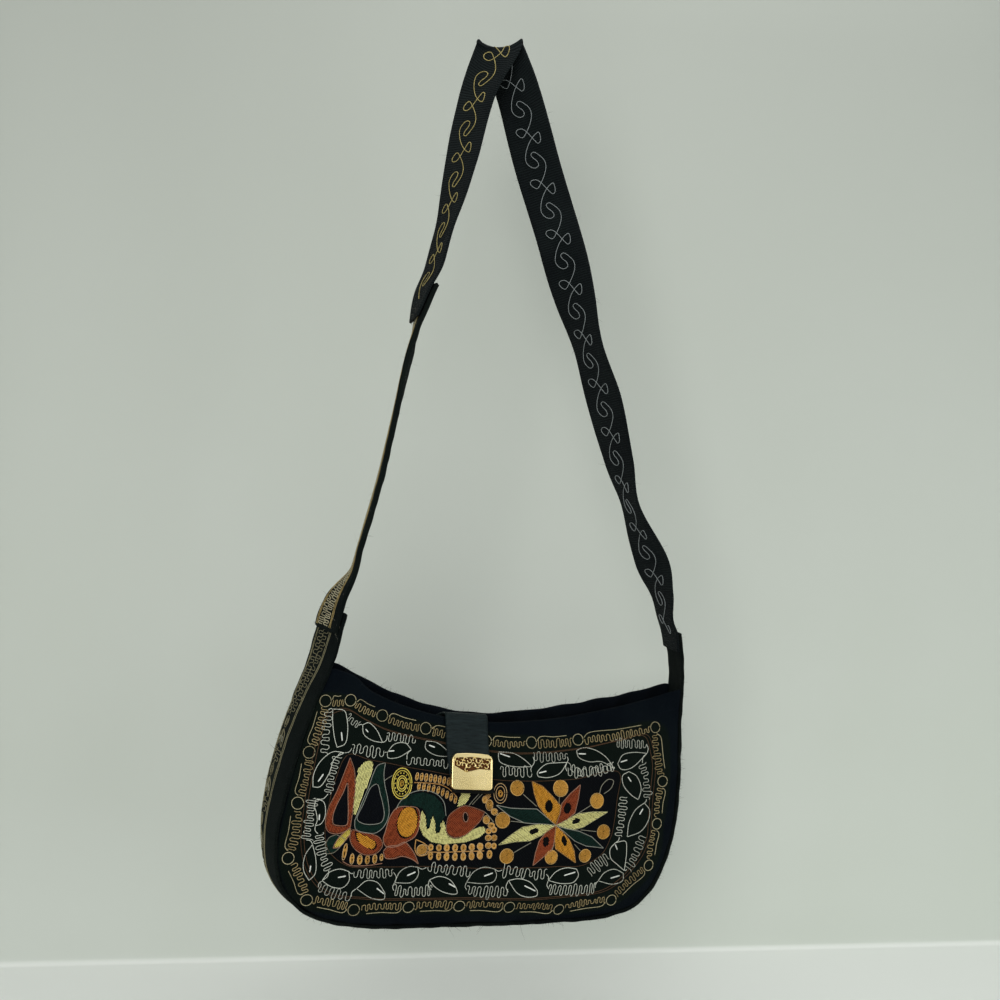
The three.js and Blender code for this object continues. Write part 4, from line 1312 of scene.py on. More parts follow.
def threads(name, place, lines, width, height, pulse, lift):
    """Tubes along lines that lie on a cloth. Across each line the half width is width times
    1 - pulse (1 - sin of the share of a link), and every end is drawn to a point."""
    counts = np.array([len(line) for line in lines])
    flat = np.vstack(lines)
    points, normals = place(flat)
    last = np.repeat(np.cumsum(counts) - 1, counts)
    first = np.repeat(np.cumsum(counts) - counts, counts)
    number = np.arange(len(flat))
    after, before = np.minimum(number + 1, last), np.maximum(number - 1, first)
    tangent = unit(points[after] - points[before])
    side = unit(np.cross(normals, tangent))
    gone = np.linalg.norm(points - points[before], axis=1)
    along = np.cumsum(gone)
    along = along - along[first]
    beat = abs(np.sin(np.pi * along / LINK)) ** 0.6
    size = 1 - pulse * (1 - beat)
    size = np.where((number == first) | (number == last), 0.04, size)
    angle = np.linspace(0, 2 * np.pi, SIDES, endpoint=False)
    out = (size[:, None] * width * np.cos(angle))[..., None] * side[:, None]
    up = (lift + size[:, None] * height * np.sin(angle))[..., None] * normals[:, None]
    rings = points[:, None] + out + up
    index = np.arange(rings.shape[0] * SIDES).reshape(-1, SIDES)
    run = number[number != last]
    around = np.roll(index, -1, axis=1)
    faces = np.stack([index[run], around[run], around[run + 1], index[run + 1]], axis=-1).reshape(-1, 4)
    turn = np.broadcast_to(angle / (2 * np.pi) * 2.6, index.shape)
    coords = np.stack([np.broadcast_to(along[:, None], index.shape), turn], axis=-1).reshape(-1, 2)
    piece = make_mesh(name, rings.reshape(-1, 3), faces, coords)
    tone = np.repeat(np.random.default_rng(len(name)).uniform(0, 1, len(lines)), counts)
    layer = piece.data.attributes.new("tone", "FLOAT", "POINT")
    layer.data.foreach_set("value", np.repeat(tone, SIDES).astype(np.float32))
    print(name, len(lines), "lines,", round(float(along[number == last].sum()) / 1000, 1), "m,",
          2 * len(faces), "triangles")
    return piece


# %% [markdown]
# ## Stitches by kind
# The whole panel is made of a few gestures. An outline goes once round a shape. A fill runs back and
# forth inside it. A scribble is a meander between two edges, and a coil fills a dot from its middle.

# %% Stitch kinds
COIL_INSET = 0.4
hand = np.random.default_rng(7)


def curve(points, closed=False):
    return spaced(through(points, closed=closed), STEP)


def joined(*arcs):
    """One closed line from open arcs, each smooth, with sharp tips where they meet."""
    line = np.vstack([through(arc) for arc in arcs])
    return spaced(np.vstack([line, line[:1]]), STEP)


def scribble(path, height, turns, bulge=0.75, ragged=0.28):
    """A meander along a path: height/2 cos(phase) to the side, and bulge sin(2 phase) along it, so
    its strokes lean out into loops. The hand makes every stroke a little longer or shorter."""
    line = spaced(through(path), 0.2)
    length = lengths(line)
    share = length / length[-1]
    tangent = unit(np.gradient(line, length, axis=0))
    normal = np.stack([-tangent[:, 1], tangent[:, 0]], axis=1)
    drift = hand.normal(0, 0.11 / turns, turns + 2)
    warp = share + np.interp(share, np.linspace(0, 1, turns + 2), drift)
    phase = 2 * np.pi * turns * warp
    tall = 1 + np.interp(share, np.linspace(0, 1, 2 * turns), hand.normal(0, ragged, 2 * turns))
    aside = height / 2 * tall * np.cos(phase)
    ahead = bulge * length[-1] / turns / (2 * np.pi) * np.sin(2 * phase)
    return spaced(line + aside[:, None] * normal + ahead[:, None] * tangent, STEP)


def fill(outline, angle, pitch=0.9, inset=0.4, holes=()):
    """Parallel rows inside an outline, cut where they cross it and every hole."""
    turn = math.radians(angle)
    frame = np.array([[math.cos(turn), math.sin(turn)], [-math.sin(turn), math.cos(turn)]])
    edges = [np.asarray(line) @ frame.T for line in (outline, *holes)]
    rows = np.arange(edges[0][:, 1].min() + pitch / 2, edges[0][:, 1].max(), pitch)
    lines = []
    for row in rows:
        cuts = []
        for edge in edges:
            start, end = edge, np.roll(edge, -1, axis=0)
            hit = (start[:, 1] > row) != (end[:, 1] > row)
            a, b = start[hit], end[hit]
            cuts.append(a[:, 0] + (row - a[:, 1]) / (b[:, 1] - a[:, 1]) * (b[:, 0] - a[:, 0]))
        cuts = np.sort(np.concatenate(cuts))
        middle = (cuts[:-1] + cuts[1:]) / 2
        level = np.full(middle.shape, row)
        kept = inside(middle, level, edges[0])
        for edge in edges[1:]:
            kept &= ~inside(middle, level, edge)
        for low, high in zip(cuts[:-1][kept], cuts[1:][kept]):
            low, high = low + inset, high - inset
            if high - low > 0.7:
                x = np.linspace(low, high, max(3, int((high - low) / STEP) + 1))
                wave = 0.09 * np.sin(x * 0.9 + row)
                lines.append(np.stack([x, row + wave], axis=1) @ frame)
    return lines


def turned(centre, x, y, lean):
    """Points x, y turned by lean degrees and carried to a centre."""
    a = math.radians(lean)
    line = np.stack([x * math.cos(a) - y * math.sin(a), x * math.sin(a) + y * math.cos(a)], axis=1)
    return spaced(np.asarray(centre) + line, STEP)


def coil(centre, wide, tall, pitch=0.82, lean=0.0):
    """A spiral out from the middle of an oval."""
    wide, tall = max(wide - COIL_INSET, 0.3), max(tall - COIL_INSET, 0.3)
    turns = max(1.2, min(wide, tall) / pitch)
    t = np.linspace(0, 1, int(40 * turns) + 8)
    radius = np.sqrt(t) if turns < 2.5 else t
    angle = 2 * np.pi * turns * t
    return turned(centre, wide * radius * np.cos(angle), tall * radius * np.sin(angle), lean)


def oval(centre, wide, tall, lean=0.0, count=40):
    t = np.linspace(0, 2 * np.pi, count)
    return turned(centre, wide * np.cos(t), tall * np.sin(t), lean)


def charted(chart, points, closed=False):
    """A smooth line through points of a chart."""
    return curve(drawn(chart, points), closed)


def tipped(chart, arcs):
    """A closed line of a chart, with sharp tips between its arcs."""
    return joined(*[drawn(chart, arc) for arc in arcs])


def oval_at(chart, x, y, wide, tall, lean=0):
    return oval(drawn(chart, [x, y])[0], reach(chart, wide), reach(chart, tall), lean)


stitches = {}


def sew(colour, *lines):
    """Keeps lines under the name of their thread."""
    for line in lines:
        stitches.setdefault(colour, []).append(np.asarray(line))

# %% [markdown]
# ## The star
# Eight pointed petals meet in one point, four colours twice over, with a dark eye in most of them.
# Between the petals stand orange balls on thin stems. Each petal is a kite with blunt
# shoulders, filled with rows that run along it.

# %% Star
STAR = (825, 608)
PETALS = [
    ("orange", [655,295], [730,330, 800,400, 860,470, 850,540], [760,550, 700,470, 670,380]),
    ("rust", [1000,318], [985,420, 960,520, 900,570], [850,540, 866,455, 930,380]),
    ("cream", [1195,512], [1100,570, 1020,620, 960,638, 900,628], [900,570, 980,525, 1090,512]),
    ("green", [1165,770], [1040,755, 960,720, 880,650], [900,632, 990,650, 1080,690]),
    ("orange", [965,875], [955,790, 920,710, 870,650], [815,700, 822,775, 900,830]),
    ("rust", [660,895], [680,800, 705,720, 760,650], [817,700, 800,780, 740,830]),
    ("cream", [415,748], [500,680, 590,620, 700,598], [720,680, 640,718, 530,725]),
    ("green", [400,465], [500,485, 600,490, 690,492, 770,560], [700,597, 600,590, 500,545]),
]
EYES = [(777,473,24,36,-10), (908,487,25,30,0), (970,578,26,16,25), (885,718,18,30,10),
        (755,725,20,28,0), (670,650,28,18,10)]
BALLS = [(550,342,50), (860,345,55), (1118,433,52), (1165,655,50), (1033,825,46),
         (793,835,48), (475,828,50), (447,573,52)]
STEMS = [(590,385, 690,475), (850,400, 848,455), (1075,465, 970,530), (1115,652, 1000,640),
         (1000,790, 955,740), (793,785, 812,745), (520,805, 650,730), (500,578, 640,594)]
LOOP = [1135,385, 1150,330, 1200,280, 1235,290, 1220,340, 1165,385]



def heading(line):
    """The direction from a line's first point to its farthest, in degrees."""
    far = line[np.argmax(np.linalg.norm(line - line[0], axis=1))] - line[0]
    return math.degrees(math.atan2(far[1], far[0]))


eyes = [oval_at("right", *row) for row in EYES]
for colour, tip, one, other in PETALS:
    outline = spaced(drawn("right", [*tip, *one, *STAR, *other, *tip]), STEP)
    sew(colour, *fill(outline, heading(outline), holes=eyes))
    sew("light" if colour == "green" else colour + " edge", outline)
for eye in eyes:
    sew("black", *fill(eye, 90))
for x, y, r in BALLS:
    centre, r = drawn("right", [x, y])[0], reach("right", r)
    sew("ball", coil(centre, r, r))
    sew("ball rim", oval(centre, r - 0.25, r - 0.25))
sew("thin light", *[charted("right", row) for row in STEMS])
sew("thin light", charted("right", LOOP))
print("star:", {colour: len(lines) for colour, lines in stitches.items()})

# %% [markdown]
# ## The plumes and the bird
# On the left three tall plumes stand beside a small bird: a rust breast with an orange oval, a
# green wing over a cream neck with three fingers, and a rust head. Tan teeth and beads fill what is
# left. Shapes with a dark heart are two outlines, and the fill keeps to the band between them.

# %% Plumes
RUST_PLUME = ([598,130, 560,230, 500,380, 440,500, 413,610, 432,680, 490,700, 560,682, 600,650],
              [600,650, 618,520, 634,380, 630,230, 598,130])
RUST_HEART = [
    577,320, 545,395, 500,480, 470,565, 472,625, 505,638, 572,632, 583,560, 582,440]
CREAM_CLUB = [
    720,152, 765,155, 768,210, 740,300, 700,400, 660,500, 628,570, 620,500, 630,400, 645,280, 672,195]
GREEN_PLUME = ([862,170, 850,250, 856,330, 880,450, 886,560, 850,645, 790,692, 720,692, 640,665, 632,600],
               [632,600, 665,520, 702,430, 740,340, 772,250, 805,190, 862,170])
GREEN_HEART = [
    800,330, 755,352, 700,470, 650,590, 690,622, 760,630, 832,612, 852,560, 842,480, 822,400]
YELLOW_LEAF = ([600,655, 540,700, 492,760, 470,806], [470,806, 512,800, 570,740, 602,690, 600,655])
GREEN_LEAF = ([495,705, 440,730, 413,790, 420,850], [420,850, 475,840, 525,795, 560,745, 495,705])
RUST_OVAL = [
    612,672, 598,745, 640,820, 720,858, 800,840, 840,785, 820,732, 760,702, 680,690]
ORANGE_HEART = [
    642,690, 655,750, 700,790, 770,816, 792,790, 778,750, 705,712]
YELLOW_OVAL = (985, 325, 76, 108)

outline, heart = tipped("left", RUST_PLUME), charted("left", RUST_HEART, True)
sew("rust", *fill(outline, 72, holes=[heart]))
sew("rust edge", outline, heart)
sew("navy", *fill(heart, 72, pitch=1.0))
sew("cream", *fill(charted("left", CREAM_CLUB, True), 74))
outline, heart = tipped("left", GREEN_PLUME), charted("left", GREEN_HEART, True)
sew("green", *fill(outline, 80, holes=[heart]))
sew("light", outline, heart)
sew("navy", *fill(heart, 80, pitch=1.0))
yellow, green = tipped("left", YELLOW_LEAF), tipped("left", GREEN_LEAF)
sew("yellow", *fill(yellow, 50))
sew("green", *fill(green, 50, holes=[yellow]))
sew("rust edge", yellow)
sew("thin light", green)
outline, heart = charted("left", RUST_OVAL, True), charted("left", ORANGE_HEART, True)
sew("rust", *fill(outline, -30, holes=[heart]))
sew("orange", *fill(heart, -30))
sew("rust edge", outline)
x, y, wide, tall = YELLOW_OVAL
centre, wide, tall = drawn("left", [x, y])[0], reach("left", wide), reach("left", tall)
sew("yellow", *[oval(centre, wide * k, tall * k) for k in (1, 0.84, 0.5, 0.36)])
sew("gold", coil(centre, wide * 0.26, tall * 0.26))
sew("yellow", *[oval(centre + [wide * 0.68 * math.cos(a), tall * 0.68 * math.sin(a)], 0.35, 0.35, count=9)
                for a in np.linspace(0, 2 * math.pi, 15)[:-1]])

# %% Bird
BREAST = [
    1040,497, 1100,510, 1120,560, 1112,650, 1080,722, 1020,758, 960,790, 900,800, 862,790, 845,740,
    862,680, 895,575, 945,508]
BREAST_HEART = (1025, 610, 76, 112)
FIN = ([845,830, 880,795, 950,785, 1005,762, 1045,800, 1078,850, 1108,925],
       [1108,925, 1060,890, 985,868, 920,885, 862,880, 845,830])
WING = [
    945,505, 985,445, 1060,395, 1150,383, 1230,408, 1285,465, 1306,560, 1296,590, 1272,622, 1268,682,
    1237,690, 1232,605, 1216,562, 1198,592, 1194,652, 1170,655, 1163,560, 1140,520, 1100,505, 1050,495,
    1000,500]
NECK = [
    1140,523, 1163,562, 1170,657, 1194,654, 1199,592, 1218,562, 1234,605, 1238,692, 1268,684, 1273,622,
    1298,592, 1312,640, 1330,700, 1360,722, 1420,706, 1500,668, 1568,642, 1603,640, 1612,690, 1560,735,
    1450,772, 1300,786, 1200,768, 1140,718, 1112,650, 1118,560]
WING_LINE = [
    938,520, 965,470, 1010,420, 1070,388, 1150,376, 1240,402, 1296,462, 1314,570]
HEAD = ([45,600, 60,545, 110,498, 170,470, 240,482, 318,512],
        [318,512, 290,570, 230,635, 150,688, 80,690, 45,650, 45,600])
HEAD_EYE = (182, 550, 17, 30)
LEAVES = [("cream", [118,482, 135,415, 165,368, 222,360], [222,360, 214,405, 178,455, 118,482]),
          ("tan", [300,440, 318,392, 345,352, 378,348], [378,348, 362,400, 335,432, 300,440])]

outline, heart = charted("left", BREAST, True), oval_at("left", *BREAST_HEART, -8)
sew("rust", *fill(outline, 66, holes=[heart]))
sew("orange", *fill(heart, 66))
sew("rust edge", outline)
outline = tipped("left", FIN)
sew("rust", *fill(outline, -30))
sew("rust edge", outline)
outline = spaced(drawn("left", WING + WING[:2]), STEP)
sew("green", *fill(outline, 80))
sew("light", charted("left", WING_LINE))
outline = spaced(drawn("left", NECK + NECK[:2]), STEP)
head, eye = tipped("right", HEAD), oval_at("right", *HEAD_EYE, 10)
sew("cream", *fill(outline, 78, holes=[head]))
sew("rust", *fill(head, 35, holes=[eye]))
sew("black", *fill(eye, 90, pitch=0.7))
sew("rust edge", head, eye)
for colour, one, other in LEAVES:
    outline = tipped("right", (one, other))
    sew(colour, *fill(outline, heading(outline)))
sew("thin light", charted("left", [848,308, 880,285, 915,264]))
sew("thin light", *[charted("right", line) for line in (
    [205,468, 240,425, 285,375], [228,462, 262,425, 305,380], [318,512, 350,545, 385,590])])

# %% Teeth and beads
TEETH = [(558,835,16,62,-6), (612,888,17,40,0), (670,893,20,38,0), (727,893,18,34,0),
         (782,888,18,34,0), (832,876,14,26,0)]
SPIRAL = (430, 380)
# Rows of beads: three points of the row, how many, their half sizes and lean.
BEAD_ROWS = [
    ("left", [1098,272, 1216,287, 1334,310], 8, 14, 30, -8),
    ("left", [1112,345, 1254,374, 1384,446], 9, 13, 30, -8),
    ("left", [1200,802, 1386,807, 1564,792], 7, 21, 25, 0),
    ("left", [1198,864, 1384,869, 1562,854], 7, 19, 30, 0),
    ("right", [47,768, 170,768, 288,760], 5, 20, 24, 0),
    ("right", [45,832, 168,832, 286,824], 5, 19, 25, 0),
]
BEADS = [(352,464,27,36), (388,512,24,22), (330,568,24,28), (366,610,25,20), (384,640,22,20),
         (345,650,20,18), (344,697,23,21), (386,697,22,21), (344,752,23,21), (384,755,19,20),
         (352,815,20,28), (318,425,18,24)]


def bead(chart, x, y, w, t, lean):
    """A coil with a rim round it."""
    centre, wide, tall = drawn(chart, [x, y])[0], reach(chart, w), reach(chart, t)
    sew("bead", coil(centre, wide, tall, 0.7, lean))
    sew("bead rim", oval(centre, wide - 0.2, tall - 0.2, lean, 24))


for row in TEETH:
    bead("left", *row)
bead("left", 1135, 820, 42, 40, 0)
for x, y, w, t in BEADS:
    bead("right", x, y, w, t, 0)
for chart, path, count, w, t, lean in BEAD_ROWS:
    line = through(np.reshape(path, (-1, 2)))
    length = lengths(line)
    for x, y in read(line, length, np.linspace(0, length[-1], count)):
        bead(chart, x, y, w, t, lean)
for line in ([1075,318, 1180,322, 1280,336, 1345,372, 1390,420],
             [1170,836, 1300,838, 1450,832, 1600,828]):
    sew("tan", charted("left", line))
sew("rust edge", charted("left", [540,905, 600,935, 700,938, 840,920]))
sew("tan", charted("left", [1088,742, 1150,772, 1190,812, 1172,852, 1110,862, 1084,822, 1088,742]))
sew("bead rim", oval_at("right", *SPIRAL, 46, 62), oval_at("right", *SPIRAL, 31, 44))
sew("bead", coil(drawn("right", SPIRAL)[0], reach("right", 20), reach("right", 28)))
print("motif:", {colour: len(lines) for colour, lines in stitches.items()})

# %% [markdown]
# ## The white border
# Round the motif runs a band in white thread: leaves with one bright dash in them, and a scribble
# across from each, joined to it by short stems.

# %% White border
WHITE_LEAVES = {
    "right": [
        ([415,85, 520,95, 600,140, 655,190], [560,192, 470,178, 422,150], [425,96, 500,122]),
        ([905,160, 830,163, 750,175, 692,235, 700,262], [770,268, 850,240], [702,236, 760,222]),
        ([1240,205, 1180,120, 1100,70, 1020,55, 972,75], [985,120, 1060,155, 1150,155], [985,98, 1040,100]),
        ([1475,95, 1380,88, 1300,108, 1265,170], [1290,208, 1360,200], [1285,158, 1335,142]),
        ([1412,425, 1360,390, 1305,320, 1300,255, 1345,225], [1400,258, 1432,340], [1338,262, 1362,298]),
        ([1332,690, 1345,590, 1390,500, 1455,448], [1492,500, 1480,580, 1430,650], [1420,532, 1446,488]),
        ([1312,930, 1260,885, 1215,840, 1210,780, 1250,730], [1320,722, 1328,800], [1247,742, 1262,782]),
        ([1125,1003, 1170,945, 1240,920, 1305,948], [1300,1000, 1230,1026], [1212,985, 1280,965]),
        ([770,1000, 825,938, 900,910, 972,918], [985,965, 950,1012, 870,1022], [882,965, 965,940]),
        ([487,1000, 560,988, 640,1012, 692,1070], [690,1105, 620,1118, 550,1090], [600,1036, 680,1076]),
        ([188,1012, 240,938, 310,906, 388,918], [402,965, 380,1008, 300,1022], [312,970, 378,946])],
    "left": [
        ([1190,1042, 1260,1018, 1345,1045, 1390,1105], [1395,1145, 1310,1140, 1230,1095],
         [1332,1070, 1388,1100]),
        ([930,1065, 968,985, 1035,945, 1102,948], [1108,1000, 1060,1060], [1022,1012, 1088,984]),
        ([645,1108, 720,1050, 800,1062, 858,1140], [850,1185, 760,1180], [795,1104, 852,1148]),
        ([388,1050, 440,988, 520,962, 588,980], [590,1050, 540,1102, 460,1095], [505,1026, 568,1014]),
        ([318,778, 262,860, 250,970, 290,1047], [335,1000, 342,890], [296,988, 304,935]),
        ([345,440, 400,462, 412,560, 380,625, 338,640], [352,600, 345,540, 332,490], [366,600, 370,552]),
        ([555,95, 470,88, 380,155, 325,260, 320,350], [372,348, 440,250, 480,140], [358,312, 400,252]),
        ([1055,72, 1010,24, 930,30, 875,95], [880,132, 950,132], [885,84, 930,80]),
        ([1350,126, 1310,68, 1235,16, 1165,8], [1160,62, 1230,112], [1185,38, 1232,56])],
    "whole": [
        ([288,240, 288,290, 294,340, 303,374], [330,362, 340,318, 337,272, 328,246], [318,320, 321,352]),
        ([462,358, 440,312, 412,288, 392,296], [396,328, 425,350], [402,310, 412,322])]}
WHITE_SCRIBBLES = {
    "right": [
        ([662,118, 780,122, 905,118], 62, 6), ([432,222, 540,228, 652,232], 68, 5),
        ([905,225, 1020,230, 1130,218, 1240,190], 62, 8), ([1250,22, 1350,28, 1470,30], 56, 7),
        ([1440,165, 1462,250, 1472,330, 1470,420], 60, 6),
        ([1312,400, 1300,500, 1285,600, 1278,690], 62, 7),
        ([1450,680, 1420,750, 1385,830, 1330,920], 66, 6), ([1195,825, 1130,880, 1060,950], 82, 5),
        ([775,1062, 880,1068, 990,1070, 1105,1055], 72, 9), ([445,925, 550,940, 650,955, 755,955], 70, 7),
        ([190,1068, 290,1078, 390,1085, 485,1085], 74, 7)],
    "left": [
        ([1170,950, 1280,962, 1400,975, 1495,985], 66, 7),
        ([925,1125, 1020,1132, 1110,1130, 1205,1120], 76, 7),
        ([622,995, 720,1000, 820,1000, 920,985], 58, 7), ([360,1100, 440,1130, 520,1155, 605,1170], 70, 5),
        ([360,700, 375,790, 400,880, 440,970], 62, 7), ([322,440, 305,540, 288,640, 268,745], 66, 8),
        ([505,118, 480,200, 458,290, 435,400], 56, 7), ([612,60, 700,78, 780,88, 855,95], 66, 5),
        ([1022,148, 1120,160, 1230,172, 1335,178], 58, 7)],
    "whole": [
        ([272,245, 266,300, 262,350, 256,398], 26, 6), ([340,268, 358,284, 378,298], 26, 3),
        ([478,332, 520,340, 578,352], 24, 5), ([1104,442, 1150,462, 1200,455, 1262,442], 24, 5)]}
# How far a stem may reach from a scribble's end to a leaf's, in mm.
STEM_REACH = 9

for chart, rows in WHITE_LEAVES.items():
    for one, other, dash in rows:
        sew("white", joined(drawn(chart, one), drawn(chart, one[-2:] + other + one[:2])))
        sew("dash", curve(drawn(chart, dash)))
for chart, rows in WHITE_SCRIBBLES.items():
    ends = np.vstack([drawn(chart, one[:2] + one[-2:]) for one, *_ in WHITE_LEAVES[chart]])
    for path, height, turns in rows:
        line = drawn(chart, path)
        sew("loop", scribble(line, reach(chart, height), turns))
        for end in (line[0], line[-1]):
            gap = ends[np.argmin(np.linalg.norm(ends - end, axis=1))] - end
            if np.linalg.norm(gap) < STEM_REACH:
                bow = 0.2 * np.array([-gap[1], gap[0]])
                sew("white", curve([end, end + 0.5 * gap + bow, end + gap]))

# %% [markdown]
# ## The olive border
# Outside it, small rings stand about 32 mm apart in olive thread. Between two rings runs a tight
# scribble with a short bar outside it, and a brown double line divides the two borders.

# %% Olive border
OLIVE_RINGS = [
    263,212, 350,210, 460,263, 612,308, 822,352, 980,357, 1142,347, 1411,304, 1437,492, 1417,640, 1388,784,
    1258,905, 1075,938, 903,930, 729,927, 552,930, 361,940, 197,905, 133,760, 166,568, 206,391]
RING_RADIUS = 18
SCRIBBLE_INSET = 1.2
BAR_OUTSET = 3.2
BROWN_LINE = [
    238,330, 262,262, 330,238, 400,275, 480,312, 640,350, 860,388, 1000,392, 1180,372, 1300,345, 1385,332,
    1412,420, 1402,560, 1388,700, 1335,795, 1245,870, 1100,895, 950,905, 760,902, 560,905, 400,902,
    270,885, 205,820, 178,720, 186,600, 212,440]
PANEL_LINE = [
    341,400, 420,418, 600,452, 760,478, 980,492, 1130,485, 1285,462, 1278,560, 1255,690, 1225,745,
    1165,782, 1050,790, 860,795, 640,790, 450,790, 345,788, 278,740, 262,690, 270,600, 300,480]

rings = drawn("whole", OLIVE_RINGS)
radius = reach("whole", RING_RADIUS)
for k, centre in enumerate(rings):
    following = rings[(k + 1) % len(rings)]
    way = following - centre
    gap = np.linalg.norm(way)
    out = np.array([-way[1], way[0]]) / gap
    sew("ring", oval(centre, radius, radius, count=36))
    if gap < 2 * radius + 4:
        continue
    start, end = centre + way * (radius + 0.8) / gap, following - way * (radius + 0.8) / gap
    bow = -SCRIBBLE_INSET * out
    middle = (start + end) / 2 + 1.6 * bow
    turns = max(2, round((gap - 2 * radius) / 3.8))
    sew("olive", scribble([start + bow, middle, end + bow], 4.8, turns))
    high = BAR_OUTSET * out
    half_way = (start + end) / 2 + 0.9 * high
    sew("ring", curve([start + 0.6 * out, start + 0.06 * way + high, half_way, end - 0.1 * way + high]))
middle = rings.mean(axis=0)
line = curve(drawn("whole", BROWN_LINE), closed=True)
sew("brown", line, middle + (line - middle) * 0.982)
sew("brown", curve(drawn("whole", PANEL_LINE), closed=True))
print("borders:", {colour: len(lines) for colour, lines in stitches.items()})

# %% Masks of the worked ground


def mask(piece, name, line):
    """1 inside a line and 0 outside, over a millimetre either side, kept on the mesh's points."""
    co = np.empty(len(piece.data.vertices) * 3, np.float32)
    piece.data.vertices.foreach_get("co", co)
    world = co.reshape(-1, 3) / MM - [BODY_OFFSET, 0, body_height]
    c, s = math.cos(math.radians(BODY_TURN)), math.sin(math.radians(BODY_TURN))
    x, z = c * world[:, 0] - s * world[:, 2], s * world[:, 0] + c * world[:, 2]
    coarse = np.vstack([line[::8], line[:1]])
    signed = np.where(inside(x, z, coarse[:-1]), 1, -1) * to_segments(x, z, coarse)
    layer = piece.data.attributes.new(name, "FLOAT", "POINT")
    layer.data.foreach_set("value", smooth(signed, -1, 1).astype(np.float32))
    return float((signed > 0).mean())


ring_line = curve(rings + 6.5 * unit(rings - middle), closed=True)
print("worked share", round(mask(front, "worked", ring_line), 2),
      "panel share", round(mask(front, "panel", curve(drawn("whole", PANEL_LINE), closed=True)), 2))

# %% [markdown]
# ## The side strip and the strap
# The side strip has a plain margin along the front, a double line, then scribbles, rings and
# leaves, and a double line again. The strap's lower strip has the same work, smaller. On the
# ribbed tape one vine runs its whole length: an arc, a curl, an arc back, and a crossing with a
# loop on each side. It is chain stitch outside and a thin line inside.

# %% Side strip and lower strip
SIDE_WIDE = 50
SIDE_LONG = FRONT_SEAM["long"]
SIDE_LINES = (18.2, 20.2, 44.2, 46)
MOTIF_PITCH = 34


def leaf_pair(start, wide, long, middle):
    """Two almond leaves that open from one foot, each with a dash, along a strip."""
    lines, dashes = [], []
    for side in (-1, 1):
        tip = np.array([start + long, middle + side * wide * 0.36])
        foot = np.array([start, middle - side * wide * 0.04])
        way = tip - foot
        out = np.array([-way[1], way[0]]) * 0.26
        lines.append(joined([foot, foot + 0.5 * way + out, tip], [tip, foot + 0.45 * way - out, foot]))
        dashes.append(curve([foot + 0.4 * way, foot + 0.72 * way]))
    return lines, dashes


def worked_strip(name, long, lines, start, plain_from):
    """Double lines all along, and between them rings, leaf pairs and scribbles in turn."""
    low, high = lines[1] + 1.6, lines[2] - 1.6
    middle, wide = (low + high) / 2, high - low
    for t in lines:
        wave = np.linspace(2, long - 2, int(long / 6))
        sew(name + " line", curve(np.stack([wave, t + hand.normal(0, 0.22, len(wave))], axis=1)))
    for k, at in enumerate(np.arange(start, plain_from, MOTIF_PITCH)):
        radius = wide * 0.2
        sew(name, oval((at + radius, middle), radius, radius, count=36))
        sew(name, oval((at + radius, middle), radius * 0.55, radius * 0.55, count=24))
        leaves, dashes = leaf_pair(at + 2 * radius + 1, wide, MOTIF_PITCH * 0.36, middle)
        sew(name, *leaves)
        sew(name + " dash", *dashes)
        begin = at + 2 * radius + 1 + MOTIF_PITCH * 0.4
        side = 0.24 * wide * (-1) ** k
        for t in (middle + side, middle - side):
            sew(name, scribble([(begin, t), (at + MOTIF_PITCH - 1, t)], wide * 0.4, 2))


worked_strip("side", SIDE_LONG, SIDE_LINES, 78, SIDE_LONG - 90)
low, high = SIDE_LINES[1] + 2, SIDE_LINES[2] - 2
for begin, end in ((3, 76), (SIDE_LONG - 88, SIDE_LONG - 3)):
    for share in (0.27, 0.73):
        t = low + (high - low) * share
        sew("side", scribble([(begin, t), ((begin + end) / 2, t), (end, t)], (high - low) * 0.42, 16))

LOWER_LONG = EXTENSION_TO - EXTENSION_FROM
LOWER_LINES = (2.2, 3.8, 20.4, 22)
for t in LOWER_LINES:
    wave = np.linspace(1.5, LOWER_LONG - 1, 60)
    sew("lower line", curve(np.stack([wave, t + hand.normal(0, 0.18, len(wave))], axis=1)))
for share in (0.26, 0.74):
    t = 5 + 14 * share
    sew("lower", scribble([(2, t), (LOWER_LONG / 2, t), (LOWER_LONG - 2, t)], 6.4, 84))

# %% Vine
VINE_DOWN = np.array([445, 1568]) / math.hypot(445, 1568)
VINE_SCALE = 0.0654
VINE_START = (735, 590)
VINE = [
    735,590, 700,650, 668,760, 672,850, 720,903, 775,918, 814,890, 800,848, 742,800, 726,768, 756,744,
    830,786, 880,838, 897,900, 882,985, 842,1080, 800,1142, 768,1136, 722,1092, 728,1062, 782,1046,
    830,1070, 905,1145, 938,1178, 972,1205, 996,1190, 1000,1140, 978,1086, 940,1108, 905,1148]
VINE_FROM_TOP = 31
TOP_ON_TAPE = TOP_AT - WEBBING_FROM
TAPE_LONG = WEBBING_TO - WEBBING_FROM


def vine(start, end):
    """The charted unit turned to run along the tape, and repeated from crossing to crossing."""
    chart = (np.reshape(VINE, (-1, 2)) - VINE_START) * VINE_SCALE
    along, aside = chart @ VINE_DOWN, chart @ np.array([VINE_DOWN[1], -VINE_DOWN[0]])
    pitch, drift = along[-1] - along[0], aside[-1] - aside[0]
    aside = aside - drift * (along - along[0]) / pitch
    count = int((end - start) / pitch)
    steps = np.arange(count)[:, None]
    path = np.stack([(start + steps * pitch + along[None, :-1]).ravel(),
                     (WEBBING_WIDTH / 2 + 0 * steps + aside[None, :-1] - aside.mean()).ravel()], axis=1)
    return curve(path), pitch


